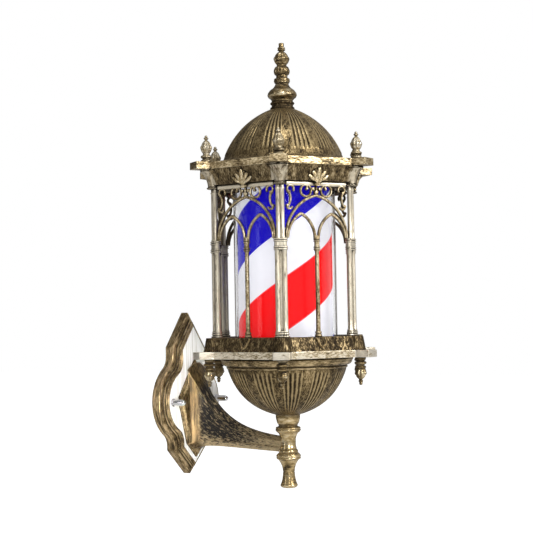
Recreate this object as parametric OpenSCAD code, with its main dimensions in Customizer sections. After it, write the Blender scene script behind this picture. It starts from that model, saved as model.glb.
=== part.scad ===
// Wall-hung barber pole: a six-sided cast lantern on a scrolled arm, with a striped drum
// that a small motor turns inside a clear tube.
// The origin is the middle of the crossbar's back. The wall is the plane y = 0, the
// lantern stands out towards -Y and +Z is up. All sizes are in millimetres.

/* [Wall plate] */
// Height of the plate's upper tip above the crossbar's middle
tip_up = 144; // [136:1:152]
// Depth of the plate's lower tip below the crossbar's middle
tip_down = 120; // [112:1:128]
// Width of the wall plate across its round sides
plate_w = 160; // [152:1:174]
// Radius of the round sides
plate_side_r = 66; // [60:1:72]
// Half width of the plate at its shoulders
shoulder_x = 43; // [39:0.5:48]
// Height of the upper shoulders above the crossbar's middle
shoulder_up = 88; // [82:1:94]
// Depth of the lower shoulders below the crossbar's middle
shoulder_down = 79; // [73:1:85]
// Depth of the plate from the wall to its front face
plate_depth = 25; // [20:0.5:32]
// Depth of the plain band next to the wall
plate_band = 13; // [9:0.5:15]
// How far the front face lies inside the outline at the wall
plate_inset = 14; // [10:0.5:18]
// Wall thickness of the plate casting
plate_wall = 4; // [3:0.5:6]

/* [Wall fixing] */
// Width of the steel crossbar
bar_w = 20; // [16:1:26]
// Gap between each end of the crossbar and the inside of the plate
bar_end_gap = 2; // [1:0.5:4]
// Thickness of the steel crossbar
bar_t = 3; // [2:0.5:4]
// Distance between the two wall screw slots
slot_spacing = 76; // [66:1:86]
// Length of a wall screw slot
slot_l = 14; // [10:1:18]
// Width of a wall screw slot
slot_w = 5.5; // [4.5:0.5:7]
// Distance of a plate stud from its end of the crossbar
stud_margin = 5; // [4.5:0.5:9]
// Diameter of a plate stud
stud_d = 6; // [5:0.5:7]
// How far a stud and its nut stand out of the front face
stud_proud = 26; // [20:1:30]

/* [Arm] */
// Distance from the wall to the lantern's axis
reach = 207; // [195:1:230]
// How far the arm's foot reaches above the crossbar's middle
foot_up = 68; // [58:1:75]
// How far the arm's foot reaches below the crossbar's middle
foot_down = 92; // [82:1:96]
// Width of the arm's foot
foot_w = 87; // [76:1:96]
// Thickness of the arm's foot
foot_t = 8; // [6:0.5:11]
// Distance of the arm's eye below the crossbar's middle
eye_drop = 63.5; // [58:0.5:69]
// Height of the arm's eye
eye_h = 26; // [23:0.5:30]
// Radius of the arm's eye at its waist
eye_r = 11.8; // [11:0.2:13]
// Thickness of the arm where it meets the eye
arm_t = 19; // [15:0.5:22]
// Diameter of the wire way along the arm
wire_d = 9; // [7:0.5:10]

/* [Stem and bowl] */
// Height of the turned collar between the arm and the bowl
collar_h = 33; // [28:0.5:38]
// Radius of the collar
collar_r = 19; // [17:0.5:22]
// Length of the bottom finial
drop_h = 55; // [48:0.5:62]
// Radius of the bottom finial's bulge
drop_r = 18.8; // [17:0.2:21]
// Height of the bowl
bowl_h = 72; // [66:0.5:79]
// Radius of the bowl at its mouth
bowl_r = 92.5; // [88:0.5:96]
// Wall thickness of the bowl and the dome
shell_t = 4; // [3.5:0.1:5]
// Depth of the narrow flutes in the bowl and the dome
flute_depth = 1.5; // [0.8:0.1:1.8]
// Number of flute groups round the bowl and the dome
flute_groups = 12; // [10:1:14]
// Height of the round moulding over the bowl
ring_h = 17.5; // [14:0.5:21]
// How far the round moulding stands out from the bowl's mouth
ring_step = 11; // [8:0.5:13]

/* [Lantern frame] */
// Corner radius of the two six-sided plates
plate_r = 139; // [137:0.5:144]
// Distance of the corner columns inside the plates' corners
column_inset = 17; // [15:0.5:18.5]
// How far the squared ears stand out past the plates' corners
ear_out = 15; // [12:0.5:20]
// Width of a corner ear
ear_w = 26; // [22:0.5:30]
// Thickness of the two six-sided plates
deck_t = 11; // [9:0.5:14]
// Thickness of the thin web inside each plate's recess
web_t = 5; // [4:0.5:7]
// Distance of the corner finials inside the plates' corners
finial_inset = 7; // [4:0.5:9]
// Height of the tapered skirt on the base plate
skirt_h = 21; // [18:0.5:25]
// Wall thickness of the skirt and the cornice
cast_t = 4; // [3:0.5:5]
// Height of a corner column
column_h = 227; // [200:0.5:250]
// Radius of each of a column's paired lower shafts
shaft_r = 4.1; // [3.6:0.1:4.6]
// Half distance between a column's paired lower shafts
shaft_off = 5.2; // [4.8:0.1:5.8]
// Height of the columns' middle collars above their feet
spring_h = 147.5; // [130:0.5:165]
// Height of a collar group on a column or a mullion
collar_group_h = 18; // [15:0.5:21]
// Height of the cornice from the columns' tops to the top plate
cornice_h = 30; // [26:0.5:34]

/* [Tracery] */
// Height of the large arch above its springing
arch_rise = 64; // [56:0.5:68]
// Height of the small arches above their springing
lancet_rise = 36.5; // [30:0.5:40]
// Width of an arch bar
bar_face = 4.6; // [3.6:0.1:5.6]
// Thickness of a tracery panel
tracery_t = 6; // [4:0.5:7]
// Radius of the middle shaft of a panel
mullion_r = 3.4; // [2.8:0.1:4]
// Radius of a round scroll to the middle of its bar
scroll_r = 9.5; // [8:0.1:10.5]

/* [Dome and finials] */
// Height of the dome with its flared foot
dome_h = 88.5; // [80:0.5:96]
// Height of the dome's flared foot
dome_foot = 17; // [14:0.5:20]
// Radius of the dome where the flutes start
dome_r = 92; // [88:0.5:96]
// How far the dome's foot flares out
dome_flare = 11; // [8:0.5:13]
// Radius of the opening at the top of the dome
dome_top_r = 19.4; // [18:0.2:21]
// Height of the neck ring on the dome
neck_h = 13; // [10:0.5:16]
// Height of the top finial
finial_h = 92.5; // [84:0.5:100]
// Height of a small corner finial
small_finial_h = 41.5; // [36:0.5:46]
// Length of a hanging corner finial
hanging_finial_h = 42; // [36:0.5:46]

/* [Tube and drum] */
// Outer diameter of the clear tube
tube_d = 160; // [150:1:166]
// Wall thickness of the clear tube
tube_t = 3; // [2:0.5:4]
// Thickness of the soft rings at the tube's ends
gasket_t = 2.5; // [1.5:0.5:4]
// Outer diameter of the striped drum
drum_d = 148; // [138:1:150]
// Wall thickness of the drum
drum_t = 1.5; // [1:0.25:2.5]
// Thickness of the drum's end discs
disc_t = 3; // [2:0.5:4]
// Radius of the pivot on top of the drum
pivot_r = 4; // [3:0.5:5]
// Radius of the steel centre tube
core_r = 5; // [4.5:0.5:6]
// Bore radius of the centre tube
core_bore = 3.6; // [3:0.1:4]
// Running clearance at a shaft, on the radius
run_gap = 0.05; // [0.02:0.01:0.1]
// Clearance of fixed parts at a seat, on the radius
seat_gap = 0.1; // [0.05:0.05:0.3]

/* [Drive] */
// Tooth module of the gear pair
gear_m = 1.5; // [1.25:0.25:1.75]
// Teeth of the drum gear
drum_teeth = 48; // [44:2:52]
// Teeth of the pinion
pinion_teeth = 16; // [16:2:20]
// Thickness of the drum gear's toothed rim
gear_t = 6; // [5:0.5:8]
// Play between the teeth along the pitch circle
backlash = 0.2; // [0.1:0.05:0.3]
// Diameter of the motor's case
motor_d = 50; // [46:1:54]
// Height of the motor's case
motor_h = 21; // [18:1:26]
// Distance of the motor's shaft from the middle of its case
motor_off = 14; // [12:0.5:15]
// Radius of the motor's shaft
motor_shaft_r = 3.5; // [2.5:0.5:4]

/* [Lamp] */
// Height of the lamp holder
holder_h = 44; // [38:1:52]
// Radius of the lamp holder
holder_r = 19; // [17:0.5:22]
// Height of the lamp above its holder
lamp_h = 104; // [90:1:120]
// Largest radius of the lamp
lamp_r = 30; // [25:1:35]

/* [Hidden] */
$fn = 96;
eps = 0.01;
sides = 6;
FINIAL_NODES = [for (i = [1:sides]) str("corner_finial_", i)];
HANGING_NODES = [for (i = [1:sides]) str("hanging_finial_", i)];
COLUMN_NODES = [for (i = [1:sides]) str("column_", i)];
TRACERY_NODES = [for (i = [1:sides]) str("tracery_panel_", i)];

// Sizes that heights depend on
boss_h = 10;
bush_flange = 2;
cap_gap = 5;

// Heights, built up from the arm's eye
z_eye = -eye_drop;
z_eye_top = z_eye + eye_h / 2;
z_eye_bottom = z_eye - eye_h / 2;
z_bowl = z_eye_top + collar_h;
z_ring = z_bowl + bowl_h;
z_floor = z_ring + ring_h;
z_web = z_floor + web_t;
z_skirt = z_floor + deck_t;
z_deck = z_skirt + skirt_h;
z_spring = z_deck + spring_h;
z_capital = z_deck + column_h;
z_top = z_capital + cornice_h;
z_top_web = z_top + deck_t - web_t;
z_dome = z_top + deck_t;
z_neck = z_dome + dome_h;
z_finial = z_neck + neck_h;
base_nut_h = 5;
flange_h = 4.5;
z_gear = z_web + base_nut_h + 0.5;
z_disc = z_gear + gear_t + flange_h;
z_drum_top = z_top_web - boss_h - bush_flange - cap_gap;
core_grip = 20;
z_core_bottom = z_eye_bottom - core_grip + 1;
z_core_top = z_disc + 38;
z_holder = z_core_top - 8;

// Sizes that several pieces share
face_t = 3;
cavity_inset = plate_inset + plate_wall - face_t;
bar_l = plate_w - 2 * (cavity_inset + bar_end_gap);
stud_spacing = bar_l - 2 * stud_margin;
ring_r = bowl_r + ring_step;
column_circle = plate_r - column_inset;
ear_reach = plate_r + ear_out;
finial_circle = plate_r - finial_inset;
corner_turn = 30;
apothem = cos(180 / sides);
tube_r = tube_d / 2;
drum_r = drum_d / 2;
recess_r = tube_r + 12;
motor_x = gear_m * (drum_teeth + pinion_teeth) / 2;
screw_r = 2;
finial_stud_r = 2.5;
tap_gap = 0.05;
stud_r = stud_d / 2;
face_y = -plate_depth;

// A bowed line from a to b, without its end point. A positive bow swells to the right.
function bowed(a, b, bow, steps) =
    let (way = b - a, side = [way[1], -way[0]] / norm(way))
    [for (i = [0:steps - 1]) let (t = i / steps) a + way * t + side * bow * 4 * t * (1 - t)];

// The outline of a turned piece from rows of radius, height and bow to the next row
function turned_outline(rows) =
    let (last = rows[len(rows) - 1])
    concat(
        [[0, rows[0][1]]],
        [for (i = [0:len(rows) - 2])
            each bowed(
                [rows[i][0], rows[i][1]], [rows[i + 1][0], rows[i + 1][1]],
                rows[i][2], rows[i][2] == 0 ? 1 : 5
            )],
        [[last[0], last[1]], [0, last[1]]]
    );

// Faces of a closed skin through rings of points, each ring one step past the last
function tube_faces(steps, count) = concat(
    [[for (k = [0:count - 1]) k]],
    [for (i = [0:steps - 1], k = [0:count - 1]) each [
        [i * count + k, (i + 1) * count + k, (i + 1) * count + (k + 1) % count],
        [i * count + k, (i + 1) * count + (k + 1) % count, i * count + (k + 1) % count]
    ]],
    [[for (k = [count - 1:-1:0]) steps * count + k]]
);

module turned(rows) {
    rotate_extrude() polygon(turned_outline(rows));
}

// Places children on the lantern's axis
module at_lantern() {
    translate([0, -reach, 0]) children();
}

// Turns children to corner i of the frame. Corner 1 points at the wall.
module at_corner(i) {
    rotate([0, 0, 90 + (i - 1) * 360 / sides]) children();
}

// Turns children to the middle of side i of the frame
module at_side(i) {
    rotate([0, 0, 90 + corner_turn + (i - 1) * 360 / sides]) children();
}

module hexagon(r) {
    rotate(corner_turn) circle(r = r, $fn = sides);
}

// A straight six-sided cone standing on z = 0
module hex_cone(r1, r2, h) {
    rotate([0, 0, corner_turn]) cylinder(r1 = r1, r2 = r2, h = h, $fn = sides);
}

module hole(r, h) {
    translate([0, 0, -eps]) cylinder(r = r, h = h + 2 * eps);
}

// Wall plate and its fixing

side_centre_x = plate_w / 2 - plate_side_r;

// Height of a tip and of a shoulder when the outline is drawn in by an inset
function slope_l(tip, shoulder) = norm([shoulder_x, tip - shoulder]);
function tip_z(tip, shoulder, inset) = tip - inset * slope_l(tip, shoulder) / shoulder_x;
function shoulder_z(tip, shoulder, inset) =
    shoulder - inset * (slope_l(tip, shoulder) - tip + shoulder) / shoulder_x;

// The plate's outline in x and z, drawn in the plane of the sketch
module plate_outline(inset) {
    $fn = 48;
    reach_x = shoulder_x - inset;
    high = shoulder_z(tip_up, shoulder_up, inset);
    low = shoulder_z(tip_down, shoulder_down, inset);
    offset(r = -6) offset(r = 6) union() {
        polygon([
            [0, tip_z(tip_up, shoulder_up, inset)], [reach_x, high], [reach_x, -low],
            [0, -tip_z(tip_down, shoulder_down, inset)], [-reach_x, -low], [-reach_x, high]
        ]);
        for (side = [-1, 1])
            translate([side * side_centre_x, 0]) circle(r = plate_side_r - inset);
    }
}

// Extrudes a sketch in x and z from depth y0 to depth y1 in front of the wall
module from_wall(y0, y1) {
    translate([0, -y0, 0]) rotate([90, 0, 0]) linear_extrude(y1 - y0) children();
}

cove_depth = 5;
cove_inset = 7;
step_inset = 8;

module wall_plate() {
    color("goldenrod") difference() {
        union() {
            from_wall(0, plate_band) plate_outline(0);
            from_wall(plate_band, plate_band + cove_depth) plate_outline(cove_inset);
            from_wall(plate_band + cove_depth, plate_depth - face_t) plate_outline(step_inset);
            from_wall(plate_depth - face_t, plate_depth) plate_outline(plate_inset);
        }
        from_wall(-eps, plate_depth - plate_wall) plate_outline(cavity_inset);
        for (side = [-1, 1])
            translate([side * stud_spacing / 2, 0, 0]) along_wall_axis() hole(stud_r + 0.3, plate_depth);
        for (spot = arm_screw_spots)
            translate([spot[0], 0, spot[1]]) along_wall_axis() hole(finial_stud_r + 0.2, plate_depth);
        translate([0, 0, z_eye]) along_wall_axis() hole(wire_d / 2, plate_depth);
    }
}

// Turns +Z to point straight out of the wall
module along_wall_axis() {
    rotate([90, 0, 0]) children();
}

module crossbar() {
    color("silver") difference() {
        from_wall(0, bar_t) square([bar_l, bar_w], center = true);
        for (side = [-1, 1]) {
            translate([side * slot_spacing / 2, 0, 0]) from_wall(-eps, bar_t + eps) slot_shape();
            translate([side * stud_spacing / 2, 0, 0]) along_wall_axis() hole(stud_r, bar_t);
        }
    }
}

module slot_shape() {
    square([slot_l - slot_w, slot_w], center = true);
    for (side = [-1, 1])
        translate([side * (slot_l - slot_w) / 2, 0]) circle(d = slot_w);
}

stud_head_t = 2;
stud_end = plate_depth + stud_proud - 4;
flange_out = 1.5;

module plate_studs() {
    color("silver") for (side = [-1, 1])
        translate([side * stud_spacing / 2, 0, 0]) along_wall_axis() {
            cylinder(r = stud_r, h = stud_end);
            translate([0, 0, bar_t]) cylinder(r = stud_r + 2, h = stud_head_t);
        }
}

cap_nut_r = 5;

module cap_nuts() {
    color("silver") for (side = [-1, 1])
        translate([side * stud_spacing / 2, 0, 0]) along_wall_axis() difference() {
            union() {
                translate([0, 0, plate_depth]) cylinder(r = cap_nut_r + flange_out, h = 2);
                translate([0, 0, plate_depth]) cylinder(r = cap_nut_r, h = stud_proud - cap_nut_r);
                translate([0, 0, plate_depth + stud_proud - cap_nut_r]) sphere(r = cap_nut_r);
            }
            translate([0, 0, plate_depth - eps]) cylinder(r = stud_r + tap_gap, h = stud_proud - 4 + eps);
        }
}

// Arm

arm_screw_spots = [[0, 36], [-22, -12], [22, -12]];
arm_steps = 18;
arm_sweep = 50;
arm_start = plate_depth + foot_t - 2;
arm_end = reach - 4;

// Edges of the arm at a distance d out from the face of its foot
function arm_top(d) = z_eye_top - 6 + (foot_up - z_eye_top) * exp(-d / arm_sweep);
function arm_bottom(d) = z_eye_bottom + 6 - 6 * d / (arm_end - arm_start) - 8 * exp(-d / 14);
function arm_half(d) = arm_t / 2 + 17 * exp(-d / 15);

// One eight-sided slice of the arm, seen from the front, from its top leftwards
function arm_slice(d) =
    let (
        top = arm_top(d), low = arm_bottom(d), w = arm_half(d),
        bevel = min(9, (top - low) / 4), y = -(arm_start + d)
    )
    [
        [-0.3 * w, y, top], [-w, y, top - 1.3 * bevel], [-w, y, low + bevel], [-0.4 * w, y, low],
        [0.4 * w, y, low], [w, y, low + bevel], [w, y, top - 1.3 * bevel], [0.3 * w, y, top]
    ];

module arm_blade() {
    slices = [for (i = [0:arm_steps]) arm_slice((arm_end - arm_start) * pow(i / arm_steps, 1.5))];
    count = len(slices[0]);
    points = [for (slice = slices) each slice];
    polyhedron(points, tube_faces(arm_steps, count), convexity = 6);
}

module foot_outline(inset) {
    offset(delta = -inset) polygon([
        [0, foot_up], [foot_w / 2, 8], [foot_w / 2 - 2, -8], [foot_w * 0.28, -foot_down * 0.74],
        [0, -foot_down], [-foot_w * 0.28, -foot_down * 0.74], [2 - foot_w / 2, -8], [-foot_w / 2, 8]
    ]);
}

module arm() {
    color("darkgoldenrod") difference() {
        union() {
            from_wall(plate_depth, plate_depth + foot_t - 3) foot_outline(0);
            from_wall(plate_depth + foot_t - 3, plate_depth + foot_t) foot_outline(4);
            arm_blade();
            at_lantern() turned([
                [eye_r + 3.2, z_eye_bottom, 0], [eye_r + 1, z_eye_bottom + 5, 0.3],
                [eye_r, z_eye_bottom + 10, 0], [eye_r, z_eye_top - 5, -0.2], [eye_r + 1.6, z_eye_top, 0]
            ]);
        }
        at_lantern() translate([0, 0, z_eye_bottom]) hole(core_r + seat_gap, eye_h);
        translate([0, 0, z_eye]) along_wall_axis() cylinder(d = wire_d, h = reach);
        for (spot = arm_screw_spots)
            translate([spot[0], -plate_depth + eps, spot[1]]) along_wall_axis()
                cylinder(r = finial_stud_r + tap_gap, h = arm_screw_grip);
    }
}

arm_screw_grip = 9;

module arm_screws() {
    head_y = plate_depth - plate_wall;
    color("silver") for (spot = arm_screw_spots)
        translate([spot[0], 0, spot[1]]) along_wall_axis() {
            translate([0, 0, head_y - 3]) cylinder(r = 4.5, h = 3);
            translate([0, 0, head_y - eps]) cylinder(r = finial_stud_r, h = plate_wall + arm_screw_grip - 1);
        }
}

// Stem and bowl

module bottom_finial() {
    color("goldenrod") at_lantern() difference() {
        translate([0, 0, z_eye_bottom]) mirror([0, 0, 1]) turned([
            [drop_r - 3.8, 0, 0], [drop_r - 2.3, 2, 1], [drop_r, 5, 1.2], [drop_r - 0.4, 10, 0.5],
            [drop_r - 4.2, 13.5, -1.2], [drop_r / 2, 0.52 * drop_h, -0.4], [drop_r / 2, 0.58 * drop_h, -0.8],
            [drop_r * 0.7, drop_h - 5, 1], [drop_r * 0.65, drop_h - 1.5, 0.4], [4, drop_h, 0]
        ]);
        translate([0, 0, z_eye_bottom - core_grip]) cylinder(r = core_r + tap_gap, h = core_grip + eps);
    }
}

module stem_collar() {
    color("goldenrod") at_lantern() difference() {
        translate([0, 0, z_eye_top]) turned([
            [eye_r + 1.8, 0, -0.3], [collar_r - 3, 4.5, 0.5], [collar_r, 7.5, 1], [collar_r - 0.4, 13.5, 0.5],
            [collar_r - 4.2, 16, 0], [collar_r - 3.8, 17, 0.6], [collar_r - 0.8, 24, 0.4],
            [collar_r, collar_h, 0]
        ]);
        translate([0, 0, z_eye_top]) hole(core_r + seat_gap, collar_h);
    }
}

// The centre tube runs from the bottom finial up to the lamp holder

module centre_tube() {
    color("lightgrey") at_lantern() difference() {
        translate([0, 0, z_core_bottom]) cylinder(r = core_r, h = z_core_top - z_core_bottom);
        translate([0, 0, z_core_bottom]) hole(core_bore, z_core_top - z_core_bottom);
        translate([0, 0, z_eye]) rotate([-90, 0, 0]) cylinder(r = core_bore, h = 2 * core_r);
    }
}

// How deep the skin is cut at an angle: three narrow flutes in each group
flute_pitch = 4.4;
group_turn = 360 / flute_groups;
flute_offsets = [-1.5, -1, -0.5, 0, 0.5, 1, 1.5];
function flute_cut(k) = k % 2 == 1 ? 1 : 0;

// Angles of the skin's corners, denser across the flutes
skin_angles = [for (g = [0:flute_groups - 1]) each concat(
    [for (step = flute_offsets) (g + 0.5) * group_turn + step * flute_pitch],
    [(g + 1) * group_turn - group_turn / 8, (g + 1) * group_turn + group_turn / 8]
)];
skin_cuts = [for (g = [0:flute_groups - 1]) each concat(
    [for (k = [0:len(flute_offsets) - 1]) flute_cut(k)], [0, 0]
)];

// A solid with a fluted skin through rows of radius, height and flute strength
module fluted_solid(rows) {
    count = len(skin_angles);
    points = [for (row = rows, k = [0:count - 1])
        let (r = row[0] - flute_depth * row[2] * skin_cuts[k])
        [r * cos(skin_angles[k]), r * sin(skin_angles[k]), row[1]]];
    polyhedron(points, tube_faces(len(rows) - 1, count), convexity = 6);
}

bowl_steps = 8;
bowl_bow = 13.5;
bowl_foot_r = 20.6;
bowl_arc = concat(
    bowed([bowl_foot_r, 0], [bowl_r, bowl_h - 2.5], bowl_bow, bowl_steps), [[bowl_r, bowl_h - 2.5]]
);
bowl_rows = concat(
    [for (i = [0:bowl_steps]) [bowl_arc[i][0], bowl_arc[i][1], i == 0 ? 0.5 : 1]],
    [[bowl_r, bowl_h, 0]]
);

module bowl() {
    inner = bowed([bowl_foot_r, shell_t + 2], [bowl_r - shell_t, bowl_h - 2.5], bowl_bow - 1, 6);
    color("darkgoldenrod") at_lantern() translate([0, 0, z_bowl]) difference() {
        fluted_solid(bowl_rows);
        rotate_extrude() polygon(concat(
            [[0, shell_t + 2]], inner, [[bowl_r - shell_t, bowl_h - 2.5]],
            [[bowl_r - shell_t, bowl_h + eps], [0, bowl_h + eps]]
        ));
        hole(core_r + seat_gap, shell_t + 2);
    }
}

module bowl_ring() {
    color("goldenrod") at_lantern() translate([0, 0, z_ring]) rotate_extrude() polygon(concat(
        [[bowl_r - shell_t, 0], [bowl_r + 0.5, 0]],
        bowed([bowl_r + 3, 2.5], [ring_r, ring_h - 5], 2.2, 6),
        [[ring_r, ring_h - 5], [ring_r, ring_h - 2.5], [ring_r - 2, ring_h]],
        [[bowl_r - shell_t, ring_h]]
    ));
}

// Six-sided plates, skirt and cornice

module eared_hexagon() {
    hexagon(plate_r);
    for (i = [1:sides])
        rotate(90 + i * 360 / sides) translate([ear_reach / 2, 0])
            square([ear_reach, ear_w], center = true);
}

module finial_holes(z, h) {
    for (i = [1:sides])
        at_corner(i) translate([finial_circle, 0, z]) hole(finial_stud_r + 0.25, h);
}

motor_ear_off = 30;

module base_plate() {
    color("goldenrod") at_lantern() difference() {
        translate([0, 0, z_floor]) linear_extrude(deck_t) eared_hexagon();
        translate([0, 0, z_web]) cylinder(r = recess_r, h = deck_t);
        translate([0, 0, z_floor]) hole(core_r + seat_gap, web_t);
        translate([motor_x, 0, z_floor]) hole(motor_shaft_r + 3, web_t);
        for (side = [-1, 1])
            translate([motor_x - motor_off, side * motor_ear_off, z_floor]) hole(screw_r + tap_gap, web_t);
        finial_holes(z_floor, deck_t);
    }
}

module base_nut() {
    color("silver") at_lantern() translate([0, 0, z_web]) difference() {
        cylinder(r = 9.5, h = base_nut_h, $fn = 6);
        hole(core_r + tap_gap, base_nut_h);
    }
}

skirt_low_r = plate_r - 0.5;
skirt_top_r = plate_r - 8;
pilaster_circle = column_circle + 3;
pilaster_low_r = 14.9;
pilaster_top_r = 11;
column_screw_l = 20;
screw_head_r = 3.6;
screw_head_h = 3;

// A raised V under a mullion, on the skirt's sloping face
module skirt_chevron() {
    face_x = (skirt_low_r + skirt_top_r) / 2 * apothem;
    lean = atan((skirt_low_r - skirt_top_r) * apothem / skirt_h);
    translate([face_x, 0, z_skirt + skirt_h / 2]) rotate([0, -lean, 0]) rotate([90, 0, 90])
        translate([0, 0, -1]) linear_extrude(3) polygon([
            [-9, skirt_h / 2 - 1], [-5.5, skirt_h / 2 - 1], [0, -3], [5.5, skirt_h / 2 - 1],
            [9, skirt_h / 2 - 1], [1.6, -8], [-1.6, -8]
        ]);
}

module base_skirt() {
    color("darkgoldenrod") at_lantern() difference() {
        union() {
            difference() {
                translate([0, 0, z_skirt]) hex_cone(skirt_low_r, skirt_top_r, skirt_h);
                translate([0, 0, z_skirt - eps])
                    hex_cone(skirt_low_r - cast_t / apothem, skirt_top_r - cast_t / apothem, skirt_h - cast_t);
            }
            for (i = [1:sides]) {
                at_corner(i) translate([pilaster_circle, 0, z_skirt])
                    cylinder(r1 = pilaster_low_r, r2 = pilaster_top_r, h = skirt_h);
                at_side(i) skirt_chevron();
            }
        }
        translate([0, 0, z_skirt]) hole(tube_r + seat_gap + 0.3, skirt_h);
        for (i = [1:sides]) at_corner(i) {
            translate([finial_circle, 0, z_skirt - eps])
                cylinder(r = finial_stud_r + tap_gap, h = hanging_grip + 1);
            translate([column_axis, 0, z_skirt]) hole(screw_r + 0.2, skirt_h);
            translate([column_axis, 0, z_skirt - eps]) cylinder(r = 4, h = skirt_pocket + eps);
        }
    }
}

skirt_pocket = skirt_h - 8;
hanging_grip = 9;
column_axis = column_circle - 2.5;

cornice_drop = cornice_h - 6;
cornice_low_r = plate_r - 11;
cornice_top_r = plate_r - 1;
ledge_t = 3;

// One leaf of a palmette, pointing up from the origin
module leaf(l, w) {
    r = (l * l / 4 + w * w / 4) / w;
    translate([0, l / 2]) intersection() {
        translate([r - w / 2, 0]) circle(r = r);
        translate([w / 2 - r, 0]) circle(r = r);
    }
}

leaf_turns = [-72, -48, -24, 0, 24, 48, 72];

// A fan of seven leaves on the cornice's sloping face
module palmette() {
    lean = atan((cornice_top_r - cornice_low_r) * apothem / cornice_drop);
    translate([cornice_low_r * apothem, 0, z_top - cornice_drop]) rotate([0, lean, 0])
        rotate([90, 0, 90]) translate([0, 0, -1]) linear_extrude(3.4) {
            for (turn = leaf_turns)
                translate([0, 3]) rotate(-turn) leaf(19 - abs(turn) / 14, 5.6);
            translate([0, 1]) circle(r = 4.2);
        }
}

capital_foot_r = 8.4;
capital_foot_bow = 1;
capital_top_r = 19;
capital_bead_h = 3;

// A bell-shaped capital on a bead, standing on z = 0
module capital() {
    bell_h = cornice_h - capital_bead_h;
    rotate_extrude() polygon(concat(
        [[0, 0]], bowed([capital_foot_r, 0], [capital_foot_r, capital_bead_h], capital_foot_bow, 4),
        bowed([capital_foot_r - 1, capital_bead_h], [capital_top_r, bell_h], -3, 6),
        [[capital_top_r, bell_h], [capital_top_r, cornice_h], [0, cornice_h]]
    ));
}

module cornice() {
    color("darkgoldenrod") at_lantern() difference() {
        union() {
            difference() {
                translate([0, 0, z_top - cornice_drop]) hex_cone(cornice_low_r, cornice_top_r, cornice_drop);
                translate([0, 0, z_top - cornice_drop + ledge_t]) hex_cone(
                    cornice_low_r - cast_t / apothem, cornice_top_r - cast_t / apothem, cornice_drop - ledge_t + eps
                );
            }
            for (i = [1:sides]) {
                at_corner(i) translate([column_circle, 0, z_capital]) capital();
                at_side(i) palmette();
            }
        }
        translate([0, 0, z_capital]) hole(tube_r + seat_gap + 0.3, cornice_h);
        for (i = [1:sides]) at_corner(i) {
            translate([finial_circle, 0, z_top - small_grip - 1])
                cylinder(r = finial_stud_r + tap_gap, h = small_grip + 1 + eps);
            translate([column_axis, 0, z_capital]) hole(screw_r + 0.2, cornice_h);
            translate([column_axis, 0, z_capital + capital_floor]) cylinder(r = 4, h = cornice_h);
        }
    }
}

capital_floor = 10;
small_grip = 7;

module column_screws() {
    lower_head = z_skirt + skirt_pocket - screw_head_h;
    upper_head = z_capital + capital_floor;
    color("silver") at_lantern() for (i = [1:sides]) at_corner(i) translate([column_axis, 0, 0]) {
        translate([0, 0, lower_head]) cylinder(r = screw_head_r, h = screw_head_h);
        translate([0, 0, lower_head]) cylinder(r = screw_r, h = column_screw_l);
        translate([0, 0, upper_head]) cylinder(r = screw_head_r, h = screw_head_h);
        translate([0, 0, upper_head + screw_head_h - column_screw_l]) cylinder(r = screw_r, h = column_screw_l);
    }
}

bush_r = 8;

module top_plate() {
    color("goldenrod") at_lantern() difference() {
        union() {
            difference() {
                translate([0, 0, z_top]) linear_extrude(deck_t) eared_hexagon();
                translate([0, 0, z_top - eps]) cylinder(r = recess_r, h = deck_t - web_t + eps);
            }
            translate([0, 0, z_top_web - boss_h]) cylinder(r = bush_r + 6, h = boss_h + eps);
        }
        translate([0, 0, z_top_web - boss_h - eps]) cylinder(r = bush_r + tap_gap, h = boss_h + eps);
        translate([0, 0, z_dome - web_t + 1]) cylinder(r = rod_r + tap_gap, h = web_t);
        finial_holes(z_top, deck_t);
    }
}

// Columns and tracery

// Two engaged shafts and the web between them, as a sketch across the column
module shaft_pair(r, off) {
    for (side = [-1, 1]) translate([0, side * off]) circle(r = r);
    square([1.3 * r, 2 * off], center = true);
}

// A stack of beads on a shaft pair, from z0 up to z0 + h
module paired_bead(r, off, z0, h) {
    translate([0, 0, z0]) linear_extrude(h) shaft_pair(r, off);
}

foot_h = 8;
upper_shaft_r = 3.6;
upper_shaft_off = 2.9;
shaft_x = column_circle - 3;
bead_h = collar_group_h / 6;

module column() {
    group_z = z_spring - collar_group_h;
    difference() {
        union() {
            translate([shaft_x, 0, 0]) {
                paired_bead(shaft_r, shaft_off, z_deck, spring_h);
                paired_bead(shaft_r + 1.9, shaft_off, z_deck, foot_h * 0.45);
                paired_bead(shaft_r + 1, shaft_off, z_deck + foot_h * 0.6, foot_h * 0.4);
                for (level = [0, 1, 4, 5])
                    paired_bead(shaft_r + 1.5, shaft_off, group_z + level * bead_h + 0.4, bead_h - 0.8);
                paired_bead(shaft_r + 0.8, shaft_off, group_z, 2 * bead_h);
                paired_bead(shaft_r + 0.8, shaft_off, z_spring - 2 * bead_h, 2 * bead_h);
            }
            translate([shaft_x + 1, 0, 0])
                paired_bead(upper_shaft_r, upper_shaft_off, z_spring - 1, z_capital - z_spring + 1);
        }
        translate([column_axis, 0, z_deck - eps]) cylinder(r = screw_r + tap_gap, h = column_screw_l);
        translate([column_axis, 0, z_capital - column_screw_l])
            cylinder(r = screw_r + tap_gap, h = column_screw_l + eps);
    }
}

// Half the clear width of a panel between its two columns
side_half = column_circle / 2;
panel_half = side_half - 1 - upper_shaft_off * cos(30) - upper_shaft_r - 0.4;
rail_h = 6;
rail_half = side_half - capital_foot_r - capital_foot_bow - 0.3;
z_rail = z_top - cornice_drop;
rail_rise = z_rail - z_spring;

// An arc bar in the sketch plane round a centre, over the sketch's whole width
module arc_bar(centre, r) {
    translate(centre) difference() {
        circle(r = r + bar_face / 2);
        circle(r = r - bar_face / 2);
    }
}

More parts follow.
